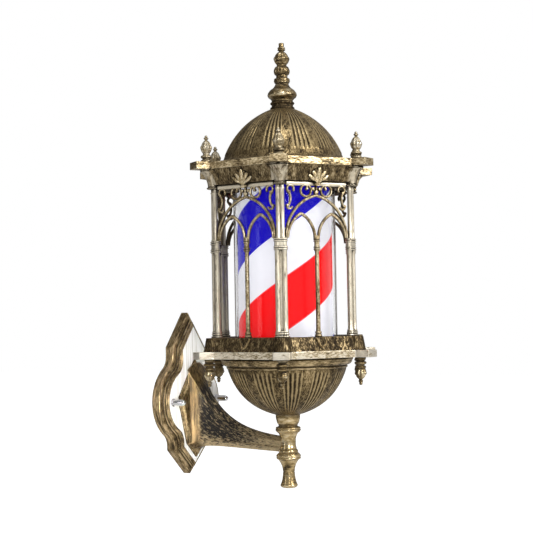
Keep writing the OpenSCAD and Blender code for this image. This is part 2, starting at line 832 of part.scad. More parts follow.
// A pointed arch of two arc bars between x0 and x1, standing on height 0
module pointed_arch(x0, x1, rise) {
    half = (x1 - x0) / 2;
    mid = (x0 + x1) / 2;
    shift = (rise * rise - half * half) / (2 * half);
    r = half + shift;
    for (side = [-1, 1]) intersection() {
        arc_bar([mid - side * shift, 0], r);
        translate([side > 0 ? mid : mid - half - bar_face, 0]) square([half + bar_face, rise + bar_face]);
    }
}

// Part of a ring, from angle a0 to a1, less than half a turn
module arc_piece(centre, r, a0, a1) {
    far = 2.5 * r;
    span = a1 - a0;
    intersection() {
        arc_bar(centre, r);
        translate(centre) polygon([
            [0, 0], far * [cos(a0), sin(a0)], far * [cos(a0 + span / 3), sin(a0 + span / 3)],
            far * [cos(a1 - span / 3), sin(a1 - span / 3)], far * [cos(a1), sin(a1)]
        ]);
    }
}

hook_r = 5.6;
scroll_start = 150;
scroll_lap = 260;
scroll_end = 400;
curl_drop = 25.5;

// The scrolls that fill one corner over the large arch, drawn for the right-hand corner
module spandrel() {
    ring_y = rail_rise - rail_h / 2 - scroll_r + 1;
    ring_x = 1.85 * scroll_r;
    arc_piece([ring_x, ring_y], scroll_r, scroll_start, scroll_lap + 10);
    arc_piece([ring_x, ring_y], scroll_r, scroll_lap, scroll_end);
    arc_piece([ring_x + 3, ring_y + 3.2], scroll_r / 2, 20, 170);
    hook_x = panel_half - hook_r - bar_face;
    hook_y = rail_rise - rail_h - hook_r;
    arc_piece([hook_x, hook_y], hook_r, -60, 100);
    arc_piece([hook_x, hook_y], hook_r, 90, 215);
    arc_piece([hook_x + 17, hook_y - 14], 17, 130, 222);
    arc_piece([hook_x + 1.5, hook_y - curl_drop], hook_r - 1.5, 200, 350);
}

crown_r = 4.4;

module tracery_sketch() {
    intersection() {
        union() {
            pointed_arch(-panel_half + 2, panel_half - 2, arch_rise);
            for (side = [-1, 1]) mirror([side < 0 ? 1 : 0, 0]) {
                pointed_arch(mullion_r - 0.4, panel_half - 5, lancet_rise);
                spandrel();
            }
            translate([-rail_half, rail_rise - rail_h]) square([2 * rail_half, rail_h]);
            translate([0, arch_rise + crown_r]) circle(r = crown_r);
            translate([-bar_face / 2, arch_rise]) square([bar_face, rail_rise - arch_rise]);
        }
        translate([-panel_half, 0]) square([2 * panel_half, rail_rise]);
    }
}

module tracery_panel() {
    group_z = z_spring - collar_group_h;
    translate([column_circle * apothem - 0.5, 0, 0]) {
        translate([0, 0, z_spring]) rotate([90, 0, 90])
            translate([0, 0, -tracery_t / 2]) linear_extrude(tracery_t) tracery_sketch();
        translate([0, 0, z_deck]) cylinder(r = mullion_r, h = spring_h + 4);
        translate([0, 0, z_deck]) cylinder(r = mullion_r + 1.8, h = foot_h * 0.45);
        translate([0, 0, z_deck + foot_h * 0.6]) cylinder(r = mullion_r + 0.8, h = foot_h * 0.4);
        for (level = [0, 1, 4, 5])
            translate([0, 0, group_z + level * bead_h + 0.4]) cylinder(r = mullion_r + 1.9, h = bead_h - 0.8);
        translate([0, 0, group_z]) cylinder(r = mullion_r + 1, h = collar_group_h);
    }
}

// Finials

small_rows = [
    [7.8, 0, 0.8], [7.8, 3.6, 0], [6, 4.4, 0], [6, 5.6, 0], [8.2, 6.6, 0.8], [8.2, 9.6, 0],
    [5.4, 10.8, -0.2], [5.4, 13.4, 0.6], [8.6, 18.6, 1.2], [7.6, 24, 0.9], [2.2, 31.4, 0],
    [2, 32.2, 0], [2.9, 33.2, 0.9], [2.9, 36.6, 0.6], [0.6, 38.5, 0]
];
hanging_rows = [
    [8, 0, 0.6], [8, 3.6, 0], [6, 4.6, 0], [6, 6, 0], [8.6, 7, 0.8], [8.6, 10.4, 0],
    [6.2, 11.6, 0], [6.2, 13, 0.2], [7.8, 14, 0.5], [7.8, 16.4, 0], [6.6, 17.4, 0.6],
    [8.6, 22, 1.1], [7.4, 27.4, 0.8], [3, 33, 0], [2.2, 34.2, 0], [3.2, 35.2, 0.6],
    [3.2, 37, 0], [2.2, 37.8, 0.4], [2.6, 39.4, 0.8], [0.6, 42, 0]
];

// Rows of a finial stretched to a height
function stretched(rows, h) =
    let (k = h / rows[len(rows) - 1][1]) [for (row = rows) [row[0], row[1] * k, row[2]]];

module small_finial() {
    turned(stretched(small_rows, small_finial_h));
    translate([0, 0, -deck_t - small_grip]) cylinder(r = finial_stud_r, h = deck_t + small_grip + 1);
}

module hanging_finial() {
    mirror([0, 0, 1]) turned(stretched(hanging_rows, hanging_finial_h));
    translate([0, 0, -1]) cylinder(r = finial_stud_r, h = deck_t + hanging_grip + 1);
}

// Dome and top finial

dome_steps = 8;
dome_bow = 10.5;
dome_arc = concat(
    bowed([dome_r, dome_foot], [dome_top_r, dome_h], dome_bow, dome_steps), [[dome_top_r, dome_h]]
);
dome_rows = concat(
    [[dome_r + dome_flare, 0, 0], [dome_r + dome_flare - 2, 3, 0]],
    [[dome_r + 0.36 * dome_flare, 8, 0], [dome_r + 0.6, dome_foot - 3, 0]],
    [for (i = [0:dome_steps]) [dome_arc[i][0], dome_arc[i][1], i == dome_steps ? 0.4 : 1]]
);

module dome() {
    inner = bowed([dome_r - shell_t, dome_foot - 3], [dome_top_r - 6, dome_h - shell_t - 2], dome_bow - 1, 6);
    color("darkgoldenrod") at_lantern() translate([0, 0, z_dome]) difference() {
        fluted_solid(dome_rows);
        rotate_extrude() polygon(concat(
            [[0, -eps], [dome_r, -eps]], inner,
            [[dome_top_r - 6, dome_h - shell_t - 2], [0, dome_h - shell_t - 2]]
        ));
        translate([0, 0, dome_h - shell_t - 3]) cylinder(r = rod_r + seat_gap, h = shell_t + 4);
    }
}

rod_r = 3;
rod_grip = 16;

module dome_rod() {
    z0 = z_dome - web_t + 1;
    color("silver") at_lantern() translate([0, 0, z0]) cylinder(r = rod_r, h = z_finial + rod_grip - z0);
}

module neck_ring() {
    color("goldenrod") at_lantern() translate([0, 0, z_neck]) difference() {
        turned([
            [dome_top_r - 0.1, 0, 0.5], [dome_top_r - 1, 4, -0.3], [dome_top_r - 1.6, 8, 0.4],
            [dome_top_r - 0.8, neck_h - 2.5, 0.5], [dome_top_r - 2.4, neck_h, 0]
        ]);
        hole(rod_r + seat_gap, neck_h);
    }
}

finial_rows = [
    [16.8, 0, 0], [16.8, 1.5, 0], [19.5, 4.5, 0.6], [22.9, 9, 0.9], [22, 14, 0.6],
    [15.4, 20, -0.8], [10.2, 28.6, 0], [12.2, 30, 0.9], [12.2, 36, 0], [9, 37.6, 0],
    [9, 41.6, 0], [11.6, 43, 1.2], [11.4, 52.4, 0.6], [7.8, 55.4, 0], [7.8, 58.6, 0.6],
    [11.8, 64.4, 1.2], [10.8, 71, 0.8], [4, 79, 0], [4, 80.2, 0], [5.6, 81.6, 0.7],
    [5.6, 85, 0], [4, 86.4, 0], [4.2, 91.4, 0.3], [3, 92.5, 0]
];

module top_finial() {
    color("goldenrod") at_lantern() translate([0, 0, z_finial]) difference() {
        turned(stretched(finial_rows, finial_h));
        translate([0, 0, -eps]) cylinder(r = rod_r + tap_gap, h = rod_grip + 1);
    }
}

// Tube, drum and drive

hub_r = 10;

module ring(r_out, r_in, h) {
    linear_extrude(h) difference() {
        circle(r = r_out);
        circle(r = r_in);
    }
}

module clear_tube() {
    z0 = z_web + gasket_t;
    color("lightcyan", 0.3) at_lantern() translate([0, 0, z0])
        ring(tube_r, tube_r - tube_t, z_top_web - gasket_t - z0);
}

module gasket(z) {
    color("dimgray") at_lantern() translate([0, 0, z]) ring(tube_r + 1, tube_r - tube_t - 1, gasket_t);
}

module lower_gasket() {
    gasket(z_web);
}

module upper_gasket() {
    gasket(z_top_web - gasket_t);
}

// Polar angle in degrees that an involute has gained at radius r
function roll(base, r) = sqrt(max(0, r * r / (base * base) - 1)) * 180 / PI;
function involute(base, r) = roll(base, r) - atan(roll(base, r) * PI / 180);

pressure_angle = 20;
flank_steps = 5;

module gear_sketch(teeth) {
    pitch = gear_m * teeth / 2;
    base = pitch * cos(pressure_angle);
    tip = pitch + gear_m;
    root = pitch - 1.25 * gear_m;
    start = max(base, root);
    half = 90 / teeth - backlash / 4 / pitch * 180 / PI + involute(base, pitch);
    flank = [for (i = [0:flank_steps])
        let (r = start + (tip - start) * i / flank_steps) [r, half - involute(base, r)]];
    tooth = concat(
        [[root, -half]],
        [for (p = flank) [p[0], -p[1]]],
        [for (i = [flank_steps:-1:0]) flank[i]],
        [[root, half]]
    );
    polygon([for (n = [0:teeth - 1], p = tooth)
        let (a = n * 360 / teeth + p[1]) p[0] * [cos(a), sin(a)]]);
}

module drum_gear() {
    color("ivory") at_lantern() translate([0, 0, z_gear]) difference() {
        union() {
            linear_extrude(gear_t) gear_sketch(drum_teeth);
            cylinder(r = hub_r + 8, h = gear_t + flange_h);
            cylinder(r = hub_r, h = gear_t + flange_h + disc_t + 3);
        }
        hole(core_r + run_gap, gear_t + flange_h + disc_t + 3);
    }
}

module drum_floor() {
    color("white") at_lantern() translate([0, 0, z_disc])
        ring(drum_r - drum_t - tap_gap, hub_r + tap_gap, disc_t);
}

module striped_drum() {
    color("white") at_lantern() translate([0, 0, z_disc]) ring(drum_r, drum_r - drum_t, z_drum_top - z_disc);
}

pivot_h = 15;

module drum_cap() {
    color("white") at_lantern() translate([0, 0, z_drum_top - disc_t]) {
        cylinder(r = drum_r - drum_t - tap_gap, h = disc_t);
        cylinder(r = pivot_r, h = disc_t + pivot_h);
        cylinder(r = pivot_r + 5, h = disc_t + 2);
    }
}

module top_bush() {
    z0 = z_top_web - boss_h - bush_flange;
    color("ivory") at_lantern() translate([0, 0, z0]) difference() {
        union() {
            cylinder(r = bush_r + 3, h = bush_flange);
            cylinder(r = bush_r, h = bush_flange + boss_h - 0.5);
        }
        translate([0, 0, -eps]) cylinder(r = pivot_r + run_gap, h = bush_flange + boss_h - 1.5);
    }
}

motor_gap = 0.2;

module motor() {
    color("silver") at_lantern() translate([motor_x - motor_off, 0, z_floor - motor_h]) difference() {
        union() {
            cylinder(d = motor_d, h = motor_h);
            translate([0, 0, motor_h - 1.5]) linear_extrude(1.5) {
                square([12, 2 * motor_ear_off], center = true);
                for (side = [-1, 1]) translate([0, side * motor_ear_off]) circle(r = 6);
            }
        }
        for (side = [-1, 1])
            translate([0, side * motor_ear_off, motor_h - 1.5]) hole(screw_r + 0.2, 1.5);
        translate([motor_off, 0, motor_h - 8]) cylinder(r = motor_shaft_r + run_gap, h = 9);
    }
}

module motor_screws() {
    head_z = z_floor - 1.5 - screw_head_h;
    color("silver") at_lantern() for (side = [-1, 1])
        translate([motor_x - motor_off, side * motor_ear_off, head_z]) {
            cylinder(r = screw_head_r, h = screw_head_h);
            cylinder(r = screw_r, h = screw_head_h + 1.5 + web_t - 0.5);
        }
}

module motor_shaft() {
    z0 = z_floor - 8 + motor_gap;
    color("lightgrey") at_lantern() translate([motor_x, 0, z0])
        cylinder(r = motor_shaft_r, h = z_gear + gear_t + 2 - z0);
}

module drive_pinion() {
    color("ivory") at_lantern() translate([motor_x, 0, z_gear]) rotate([0, 0, 180 / pinion_teeth])
        difference() {
            linear_extrude(gear_t) gear_sketch(pinion_teeth);
            hole(motor_shaft_r + 0.02, gear_t);
        }
}

module lamp_holder() {
    color("white") at_lantern() translate([0, 0, z_holder]) difference() {
        union() {
            cylinder(r = 8, h = 10);
            translate([0, 0, 6]) turned([[10, 0, 1], [holder_r, 9, 0], [holder_r, holder_h - 6, 0]]);
        }
        translate([0, 0, -eps]) cylinder(r = core_r + tap_gap, h = 9);
        translate([0, 0, holder_h - lamp_cap_l - 1]) cylinder(r = lamp_cap_r + 0.4, h = lamp_cap_l + 2);
    }
}

lamp_cap_r = 13;
lamp_cap_l = 24;

module lamp() {
    color("whitesmoke") at_lantern() translate([0, 0, z_holder + holder_h - lamp_cap_l]) turned([
        [4, -0.5, 0], [lamp_cap_r, 2, 0], [lamp_cap_r, lamp_cap_l, 0], [lamp_cap_r + 3, lamp_cap_l + 1, 0],
        [lamp_r - 6, lamp_cap_l + 0.5 * lamp_h, 1], [lamp_r, lamp_cap_l + 0.66 * lamp_h, 3],
        [lamp_r - 9, lamp_cap_l + 0.94 * lamp_h, 2], [2, lamp_cap_l + lamp_h, 0]
    ]);
}

wall_plate();
crossbar();
plate_studs();
cap_nuts();
arm();
arm_screws();
bottom_finial();
stem_collar();
centre_tube();
bowl();
bowl_ring();
base_plate();
base_nut();
base_skirt();
column_screws();
cornice();
top_plate();
dome();
dome_rod();
neck_ring();
top_finial();
clear_tube();
lower_gasket();
upper_gasket();
motor();
motor_screws();
motor_shaft();
drive_pinion();
drum_gear();
drum_floor();
striped_drum();
drum_cap();
top_bush();
lamp_holder();
lamp();
for (i = [1:sides]) {
    color("goldenrod") at_lantern() at_corner(i) column();
    color("darkgoldenrod") at_lantern() at_side(i) tracery_panel();
    color("goldenrod") at_lantern() at_corner(i) translate([finial_circle, 0, z_dome]) small_finial();
    color("goldenrod") at_lantern() at_corner(i) translate([finial_circle, 0, z_floor]) hanging_finial();
}
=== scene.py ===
"""A wall-hung barber pole in antiqued brass, dressed round its CAD frame."""

from math import atan, atan2, cos, degrees, exp, hypot, pi, radians, sin, sqrt

import bpy
from mathutils import Matrix, Vector


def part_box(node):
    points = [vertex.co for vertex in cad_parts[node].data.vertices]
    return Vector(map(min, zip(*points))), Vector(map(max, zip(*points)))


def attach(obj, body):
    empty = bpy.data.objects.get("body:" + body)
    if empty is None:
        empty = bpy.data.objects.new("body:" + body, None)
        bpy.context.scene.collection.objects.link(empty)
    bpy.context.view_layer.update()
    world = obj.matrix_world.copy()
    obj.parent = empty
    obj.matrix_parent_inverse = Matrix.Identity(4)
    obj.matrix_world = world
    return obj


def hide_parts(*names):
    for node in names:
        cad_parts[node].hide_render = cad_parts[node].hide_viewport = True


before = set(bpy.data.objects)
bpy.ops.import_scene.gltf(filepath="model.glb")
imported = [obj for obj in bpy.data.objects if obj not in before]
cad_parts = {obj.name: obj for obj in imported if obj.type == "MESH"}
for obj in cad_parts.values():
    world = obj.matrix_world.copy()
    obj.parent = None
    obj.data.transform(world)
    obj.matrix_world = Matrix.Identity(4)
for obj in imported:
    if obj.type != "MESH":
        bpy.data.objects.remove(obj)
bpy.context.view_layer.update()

MM = 0.001
SIDES = 6

# Camera, read off the photograph: metres, degrees and pixels
CAMERA_AT = (-1.679, -1.294, 0.138)
CAMERA_HEADING = 56.24
CAMERA_PITCH = 2.17
CAMERA_ROLL = -1.0
FOCAL_PX = 1276
FRAME_PX = 533
SENSOR_MM = 36

# Places that come from the CAD frame, in millimetres


def low(node):
    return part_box(node)[0] / MM


def high(node):
    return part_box(node)[1] / MM


def width_of(node):
    return high(node).x - low(node).x


REACH = -(low("clear_tube").y + high("clear_tube").y) / 2
PLATE_W = width_of("wall_plate")
PLATE_DEPTH = -low("wall_plate").y
TIP_UP = high("wall_plate").z
TIP_DOWN = -low("wall_plate").z
Z_EYE_TOP = low("stem_collar").z
Z_EYE_BOTTOM = high("bottom_finial").z
Z_BOWL = low("bowl").z
Z_RING = low("bowl_ring").z
Z_FLOOR = low("base_plate").z
Z_SKIRT = low("base_skirt").z
Z_DECK = high("base_skirt").z
Z_CAPITAL = high("column_1").z
Z_TOP = high("cornice").z
Z_DOME = low("dome").z
Z_NECK = low("neck_ring").z
Z_FINIAL = high("neck_ring").z
Z_PEAK = high("top_finial").z
DROP_H = Z_EYE_BOTTOM - low("bottom_finial").z
Z_RAIL = high("tracery_panel_1").z - 8

# Sizes of the casting in millimetres
PLATE_R = 139
COLUMN_CIRCLE = 122
FINIAL_CIRCLE = 132
SPRING_H = 147.5
APOTHEM = cos(pi / SIDES)
FOOT_UP = 68
FOOT_DOWN = 92
FOOT_W = 87
FOOT_T = 8
ARM_T = 19
ARM_SWEEP = 50
ARM_START = PLATE_DEPTH + FOOT_T - 2
ARM_L = REACH - 4 - ARM_START
ARM_TOP = Z_EYE_TOP - 6


# Outlines

BOW_STEPS = 8


def bowed(a, b, bow, steps):
    """Points from a to b, without b, on a line that swells to its right by bow."""
    way = (b[0] - a[0], b[1] - a[1])
    length = hypot(*way)
    side = (way[1] / length, -way[0] / length)
    points = []
    for i in range(steps):
        t = i / steps
        swell = bow * 4 * t * (1 - t)
        points.append((a[0] + way[0] * t + side[0] * swell, a[1] + way[1] * t + side[1] * swell))
    return points


def inset(points, d):
    """A polygon, anticlockwise, with every edge moved inwards by d."""
    moved_points = []
    count = len(points)
    for i in range(count):
        before = Vector(points[i - 1])
        here = Vector(points[i])
        after = Vector(points[(i + 1) % count])
        n1 = (here - before).normalized().orthogonal()
        n2 = (after - here).normalized().orthogonal()
        turn = 1 + n1.dot(n2)
        moved_points.append(tuple(here + (n1 + n2) * (d / turn)))
    return moved_points


# Shapes: lists of points in millimetres and of faces

def joined(*shapes):
    """One shape out of several."""
    points = []
    faces = []
    for shape in shapes:
        start = len(points)
        points += shape[0]
        faces += [tuple(i + start for i in face) for face in shape[1]]
    return points, faces


def moved(shape, matrix):
    return [tuple(matrix @ Vector(p)) for p in shape[0]], shape[1]


def ringed(rings, ends=True):
    """A skin through rings of points. Each ring has as many points as the others."""
    count = len(rings[0])
    points = [p for ring in rings for p in ring]
    faces = []
    for i in range(len(rings) - 1):
        for k in range(count):
            a = i * count + k
            b = i * count + (k + 1) % count
            faces.append((a, b, b + count, a + count))
    if ends:
        faces.append(tuple(range(count - 1, -1, -1)))
        faces.append(tuple(range(len(points) - count, len(points))))
    return points, faces


def revolved(outline, segments=48, cut=None):
    """Turns radius and height points round Z. cut(angle, height) is taken off the radius."""
    points = []
    rings = []
    for r, z in outline:
        start = len(points)
        if r < 1e-6:
            points.append((0.0, 0.0, z))
            rings.append([start] * segments)
            continue
        for k in range(segments):
            angle = 2 * pi * k / segments
            here = r - (cut(angle, z) if cut else 0)
            points.append((here * cos(angle), here * sin(angle), z))
        rings.append(list(range(start, start + segments)))
    faces = []
    for lower, upper in zip(rings, rings[1:]):
        for k in range(segments):
            after = (k + 1) % segments
            face = [lower[k], lower[after], upper[after], upper[k]]
            face = [v for n, v in enumerate(face) if v != face[n - 1]]
            if len(face) > 2:
                faces.append(tuple(face))
    return points, faces


def turned(rows, segments=48, cut=None):
    """A turned piece, from rows of radius, height and the bow of what follows, if any."""
    outline = [(0.0, rows[0][1])]
    for row, after in zip(rows, rows[1:]):
        outline += bowed(row[:2], after[:2], row[2], BOW_STEPS) if len(row) > 2 else [row]
    outline += [rows[-1][:2], (0.0, rows[-1][1])]
    return revolved(outline, segments, cut)


def bar_section(width, depth):
    """Half-round on both faces, as points across and out of the panel."""
    w = width / 2
    d = depth / 2
    return [
        (-w, -0.35 * d), (-w, 0.35 * d), (-0.62 * w, 0.82 * d), (0, d), (0.62 * w, 0.82 * d),
        (w, 0.35 * d), (w, -0.35 * d), (0.62 * w, -0.82 * d), (0, -d), (-0.62 * w, -0.82 * d)
    ]


def swept_bar(path, width, depth, taper=None):
    """A bar along a path of points in a panel. taper(t) scales its section along the way."""
    rings = []
    count = len(path)
    for i, here in enumerate(path):
        before = Vector(path[max(i - 1, 0)])
        after = Vector(path[min(i + 1, count - 1)])
        along = (after - before).normalized()
        across = Vector((-along.y, along.x))
        size = taper(i / (count - 1)) if taper else 1
        ring = []
        for a, b in bar_section(width * size, depth * size):
            spot = Vector(here) + across * a
            ring.append((spot.x, spot.y, b))
        rings.append(ring)
    return ringed(rings[::-1])


def arc(centre, r, start, end, steps=20):
    """Points on an arc between two angles in degrees."""
    points = []
    for i in range(steps + 1):
        angle = radians(start + (end - start) * i / steps)
        points.append((centre[0] + r * cos(angle), centre[1] + r * sin(angle)))
    return points


# Places on the lantern

def shifted(x=0, y=0, z=0):
    return Matrix.Translation((x, y, z))


def spun(angle, axis):
    """A turn about an axis, in degrees."""
    return Matrix.Rotation(radians(angle), 4, axis)


def taller(share):
    return Matrix.Scale(share, 4, (0, 0, 1))


def on_axis(z=0):
    return shifted(0, -REACH, z)


def at_corner(i, r=0, z=0):
    """Corner i of the six-sided frame, with X pointing outwards. Corner 1 points at the wall."""
    return on_axis() @ spun(90 + (i - 1) * 360 / SIDES, "Z") @ shifted(r, 0, z)


def at_side(i, r=0, z=0):
    """Side i, between corners i and i + 1, with X pointing outwards."""
    return on_axis() @ spun(120 + (i - 1) * 360 / SIDES, "Z") @ shifted(r, 0, z)


UPRIGHT = spun(90, "Z") @ spun(90, "X")


def added(name, data):
    """A new object in the scene."""
    obj = bpy.data.objects.new(name, data)
    bpy.context.scene.collection.objects.link(obj)
    return obj


def round_edges(obj, width, segments, sharp):
    """Rounds off the edges of an object that are sharper than an angle in degrees."""
    rounding = obj.modifiers.new("rounding", "BEVEL")
    rounding.width = width * MM
    rounding.segments = segments
    rounding.limit_method = "ANGLE"
    rounding.angle_limit = radians(sharp)
    rounding.harden_normals = True


def piece(name, shape, material, stands_for=(), sharp=32, bevel=0):
    """Makes one mesh piece of the object, riding on the frame."""
    points, faces = shape
    mesh = bpy.data.meshes.new(name)
    mesh.from_pydata([tuple(c * MM for c in p) for p in points], [], faces)
    mesh.validate()
    mesh.shade_smooth()
    mesh.set_sharp_from_angle(angle=radians(sharp))
    mesh.materials.append(material)
    obj = added(name, mesh)
    if bevel:
        round_edges(obj, bevel, 3, sharp)
    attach(obj, "frame")
    if stands_for:
        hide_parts(*stands_for)


def six_pieces(name, shape, material, place, stands_for=None, sharp=40):
    """A piece at each corner or side, where place(i) puts it."""
    for i in range(1, SIDES + 1):
        nodes = [f"{stands_for}_{i}"] if stands_for else ()
        piece(f"{name}_{i}", moved(shape, place(i)), material, nodes, sharp=sharp)


# Values, nodes and node groups

VECTOR = "NodeSocketVector"
VALUE = "NodeSocketFloat"
COLOUR = "NodeSocketColor"

# The kind of a group's output, by the type of the socket that feeds it
KINDS = {"VECTOR": VECTOR, "VALUE": VALUE, "RGBA": COLOUR}


class Value:
    """What a socket gives, ready for sums with numbers and with other values."""

    def __init__(self, tree, socket):
        self.tree = tree
        self.socket = socket

    def __add__(self, other):
        return maths("ADD", self, other)

    def __sub__(self, other):
        return maths("SUBTRACT", self, other)

    def __rsub__(self, other):
        return maths("SUBTRACT", other, self)

    def __mul__(self, other):
        return maths("MULTIPLY", self, other)

    def __truediv__(self, other):
        return maths("DIVIDE", self, other)


def feed(socket, value):
    """Gives a socket another socket's value or a plain one. Plain colours are opaque."""
    if isinstance(value, Value):
        value.tree.links.new(value.socket, socket)
    elif socket.type == "RGBA":
        socket.default_value = (*value, 1)
    else:
        socket.default_value = value


def feed_all(node, inputs):
    """Gives a node values for its inputs, by their name or number."""
    for key, value in inputs.items():
        feed(node.inputs[key], value)
    return node


def add_node(tree, kind, inputs=None, **settings):
    """Adds a node with its properties, and with values for its inputs."""
    made = tree.nodes.new("ShaderNode" + kind)
    for key, value in settings.items():
        setattr(made, key, value)
    return feed_all(made, inputs or {})


def value_of(tree, kind, output, inputs=None, **settings):
    """One output of a new node."""
    return Value(tree, add_node(tree, kind, inputs, **settings).outputs[output])


def maths(operation, a, b=0.0, clamp=False):
    tree = a.tree if isinstance(a, Value) else b.tree
    return value_of(tree, "Math", 0, {0: a, 1: b}, operation=operation, use_clamp=clamp)


def vector_maths(operation, a, b=(0, 0, 0), output="Vector"):
    return value_of(a.tree, "VectorMath", output, {0: a, 1: b}, operation=operation)


def ranged(value, from_low, from_high, to_low=0.0, to_high=1.0):
    """A value taken smoothly from one range to another."""
    numbers = dict(enumerate((value, from_low, from_high, to_low, to_high)))
    return value_of(value.tree, "MapRange", 0, numbers, interpolation_type="SMOOTHSTEP")


def blended(factor, a, b, mode="MIX"):
    inputs = {0: factor, 6: a, 7: b}
    return value_of(factor.tree, "Mix", 2, inputs, data_type="RGBA", blend_type=mode)


def noise(vector, scale, detail=4, rough=0.6, distortion=0):
    inputs = dict(Vector=vector, Scale=scale, Detail=detail, Roughness=rough, Distortion=distortion)
    return value_of(vector.tree, "TexNoise", 0, inputs)


def stretched(vector, scale):
    return vector_maths("MULTIPLY", vector, scale)


def split(vector):
    """The X, Y and Z of a vector."""
    made = add_node(vector.tree, "SeparateXYZ", {0: vector})
    return [Value(vector.tree, output) for output in made.outputs]


def new_group(name, **inputs):
    """A node group and the values it is given. inputs are the kinds of its sockets."""
    group = bpy.data.node_groups.new(name, "ShaderNodeTree")
    for label, kind in inputs.items():
        group.interface.new_socket(label, in_out="INPUT", socket_type=kind)
    start = group.nodes.new("NodeGroupInput")
    return group, {label: Value(group, start.outputs[label]) for label in inputs}


def put_out(group, **outputs):
    """Completes a group with what it puts out."""
    for label, value in outputs.items():
        group.interface.new_socket(label, in_out="OUTPUT", socket_type=KINDS[value.socket.type])
    feed_all(group.nodes.new("NodeGroupOutput"), outputs)
    return group


def used(tree, group, **inputs):
    """Puts a group into a tree, and gives back what it puts out."""
    made = add_node(tree, "Group", inputs, node_tree=group)
    return {output.name: Value(tree, output) for output in made.outputs}


# Effects that several materials share

# Brown-black of the patina, also the colour of painted shade in hollows, grooves and sides
PATINA_AND_SHADE = (0.02, 0.013, 0.006)
PATINA_SOFT = 0.3
CORNER_SOFT = 0.6

# Flutes of the dome and the bowl, in degrees and millimetres: four grooves in each group
FLUTE_GROUPS = 12
FLUTE_PITCH = 4.6
FLUTE_DEPTH = 2.4
FLUTE_FADE = 5 * MM
DOME_TURN = 22.1
BOWL_TURN = 8.3


def wear_and_shade_group():
    """Masks of rubbed edges and of hollows from ambient occlusion, which give patina and painted shade, and
    a normal with rounded edges.
    """
    group, given = new_group("worn edges and shaded hollows", Radius=VALUE, Reach=VALUE)
    rounded = value_of(group, "Bevel", 0, {"Radius": given["Radius"]}, samples=6)
    flat = value_of(group, "NewGeometry", "Normal")
    bend = 1.0 - vector_maths("DOT_PRODUCT", rounded, flat, "Value")
    open_sky = value_of(group, "AmbientOcclusion", "AO", {"Distance": given["Reach"]}, samples=8)
    hollow = ranged(open_sky, 0.5, 0.97, 1.0, 0.0)
    edge = ranged(bend, 0.02, 0.2) * (1.0 - hollow)
    return put_out(group, Edge=edge, Hollow=hollow, Normal=rounded)


def brushed_group():
    """Dry brush marks drawn out along one way, with a broad mottle under them."""
    group, given = new_group("brushed metal", Vector=VECTOR, Stretch=VECTOR)
    drawn = stretched(given["Vector"], given["Stretch"])
    marks = noise(drawn, 640, 5, 0.65) * 0.5 + noise(drawn, 170) * 0.3 + noise(given["Vector"], 30) * 0.2
    return put_out(group, Marks=ranged(marks, 0.33, 0.67), Height=marks)


def antique_group():
    """Brass rubbed bright on its edges over a brown-black patina in its hollows. Hollows and flute grooves
    darken partly with patina and partly as painted shade, sideways faces as painted shade; ribs and corners
    are paled partly as painted highlight.
    """
    group, given = new_group(
        "antique brass", Vector=VECTOR, Stretch=VECTOR, Body=COLOUR, Rubbed=COLOUR, Pale=COLOUR,
        Darkness=VALUE, Rubbing=VALUE, Groove=VALUE, Rib=VALUE, Radius=VALUE, Reach=VALUE, Dullness=VALUE
    )
    wear_and_shade = used(group, WEAR_AND_SHADE_MASKS, Radius=given["Radius"], Reach=given["Reach"])
    brush = used(group, BRUSHED, Vector=given["Vector"], Stretch=given["Stretch"])
    marks = brush["Marks"]
    edge = wear_and_shade["Edge"]
    rib = given["Rib"]
    dark = given["Darkness"]
    stained_and_shaded = ranged(marks, dark - PATINA_SOFT, dark + PATINA_SOFT, 1.0, 0.0)
    stained_and_shaded = stained_and_shaded * (1.0 - edge) * (1.0 - rib)
    # Hollows from ambient occlusion: partly patina, partly painted shade
    stained_and_shaded = maths("MAXIMUM", stained_and_shaded, wear_and_shade["Hollow"] * 0.95)
    stained_and_shaded = maths("MAXIMUM", stained_and_shaded, given["Groove"])
    bare = 1.0 - given["Rubbing"]
    rubbed = ranged(marks, bare - PATINA_SOFT, bare + PATINA_SOFT)
    rubbed = maths("MAXIMUM", rubbed, edge * 0.9)
    colour = blended(rubbed, given["Body"], given["Rubbed"])
    # Pale mask: rubbed ribs and corners, partly painted highlight, and the pale rail
    colour = blended(rib * 0.85, colour, given["Pale"])
    colour = blended(stained_and_shaded, colour, PATINA_AND_SHADE)
    rough = stained_and_shaded * 0.2 + marks * -0.1 + given["Dullness"]
    metal = 0.9 - stained_and_shaded * 0.5
    return put_out(group, Color=colour, Roughness=rough, Metallic=metal, Height=brush["Height"],
                   Normal=wear_and_shade["Normal"])


def angle_within(vector, turn, spread):
    """Degrees round the lantern's axis from the nearest of a row of places, and the height."""
    x, y, height = split(vector)
    angle = maths("DEGREES", maths("ARCTAN2", y + REACH * MM, x)) + (720 + spread / 2)
    angle = maths("MODULO", angle - turn, spread)
    return maths("ABSOLUTE", angle - spread / 2), height


def flute_group():
    """Masks of the black grooves, partly patina and partly painted shade, and of the bare ribs between
    them, partly rubbed brass and partly painted highlight, from Low to High in metres.
    """
    group, given = new_group("flute lines", Vector=VECTOR, Turn=VALUE, Low=VALUE, High=VALUE)
    off, height = angle_within(given["Vector"], given["Turn"], 360 / FLUTE_GROUPS)
    away = maths("ABSOLUTE", maths("FRACT", off / FLUTE_PITCH) - 0.5) * 2.0
    within = ranged(off, FLUTE_PITCH * 2.05, FLUTE_PITCH * 2.2, 1.0, 0.0)
    within = within * ranged(height, given["Low"], given["Low"] + FLUTE_FADE)
    within = within * ranged(height, given["High"] - FLUTE_FADE, given["High"], 1.0, 0.0)
    groove = ranged(away, 0.12, 0.42, 0.92, 0.0) * within
    rib = ranged(away, 0.42, 0.8, 0.0, 0.85) * within
    return put_out(group, Groove=groove, Rib=rib)


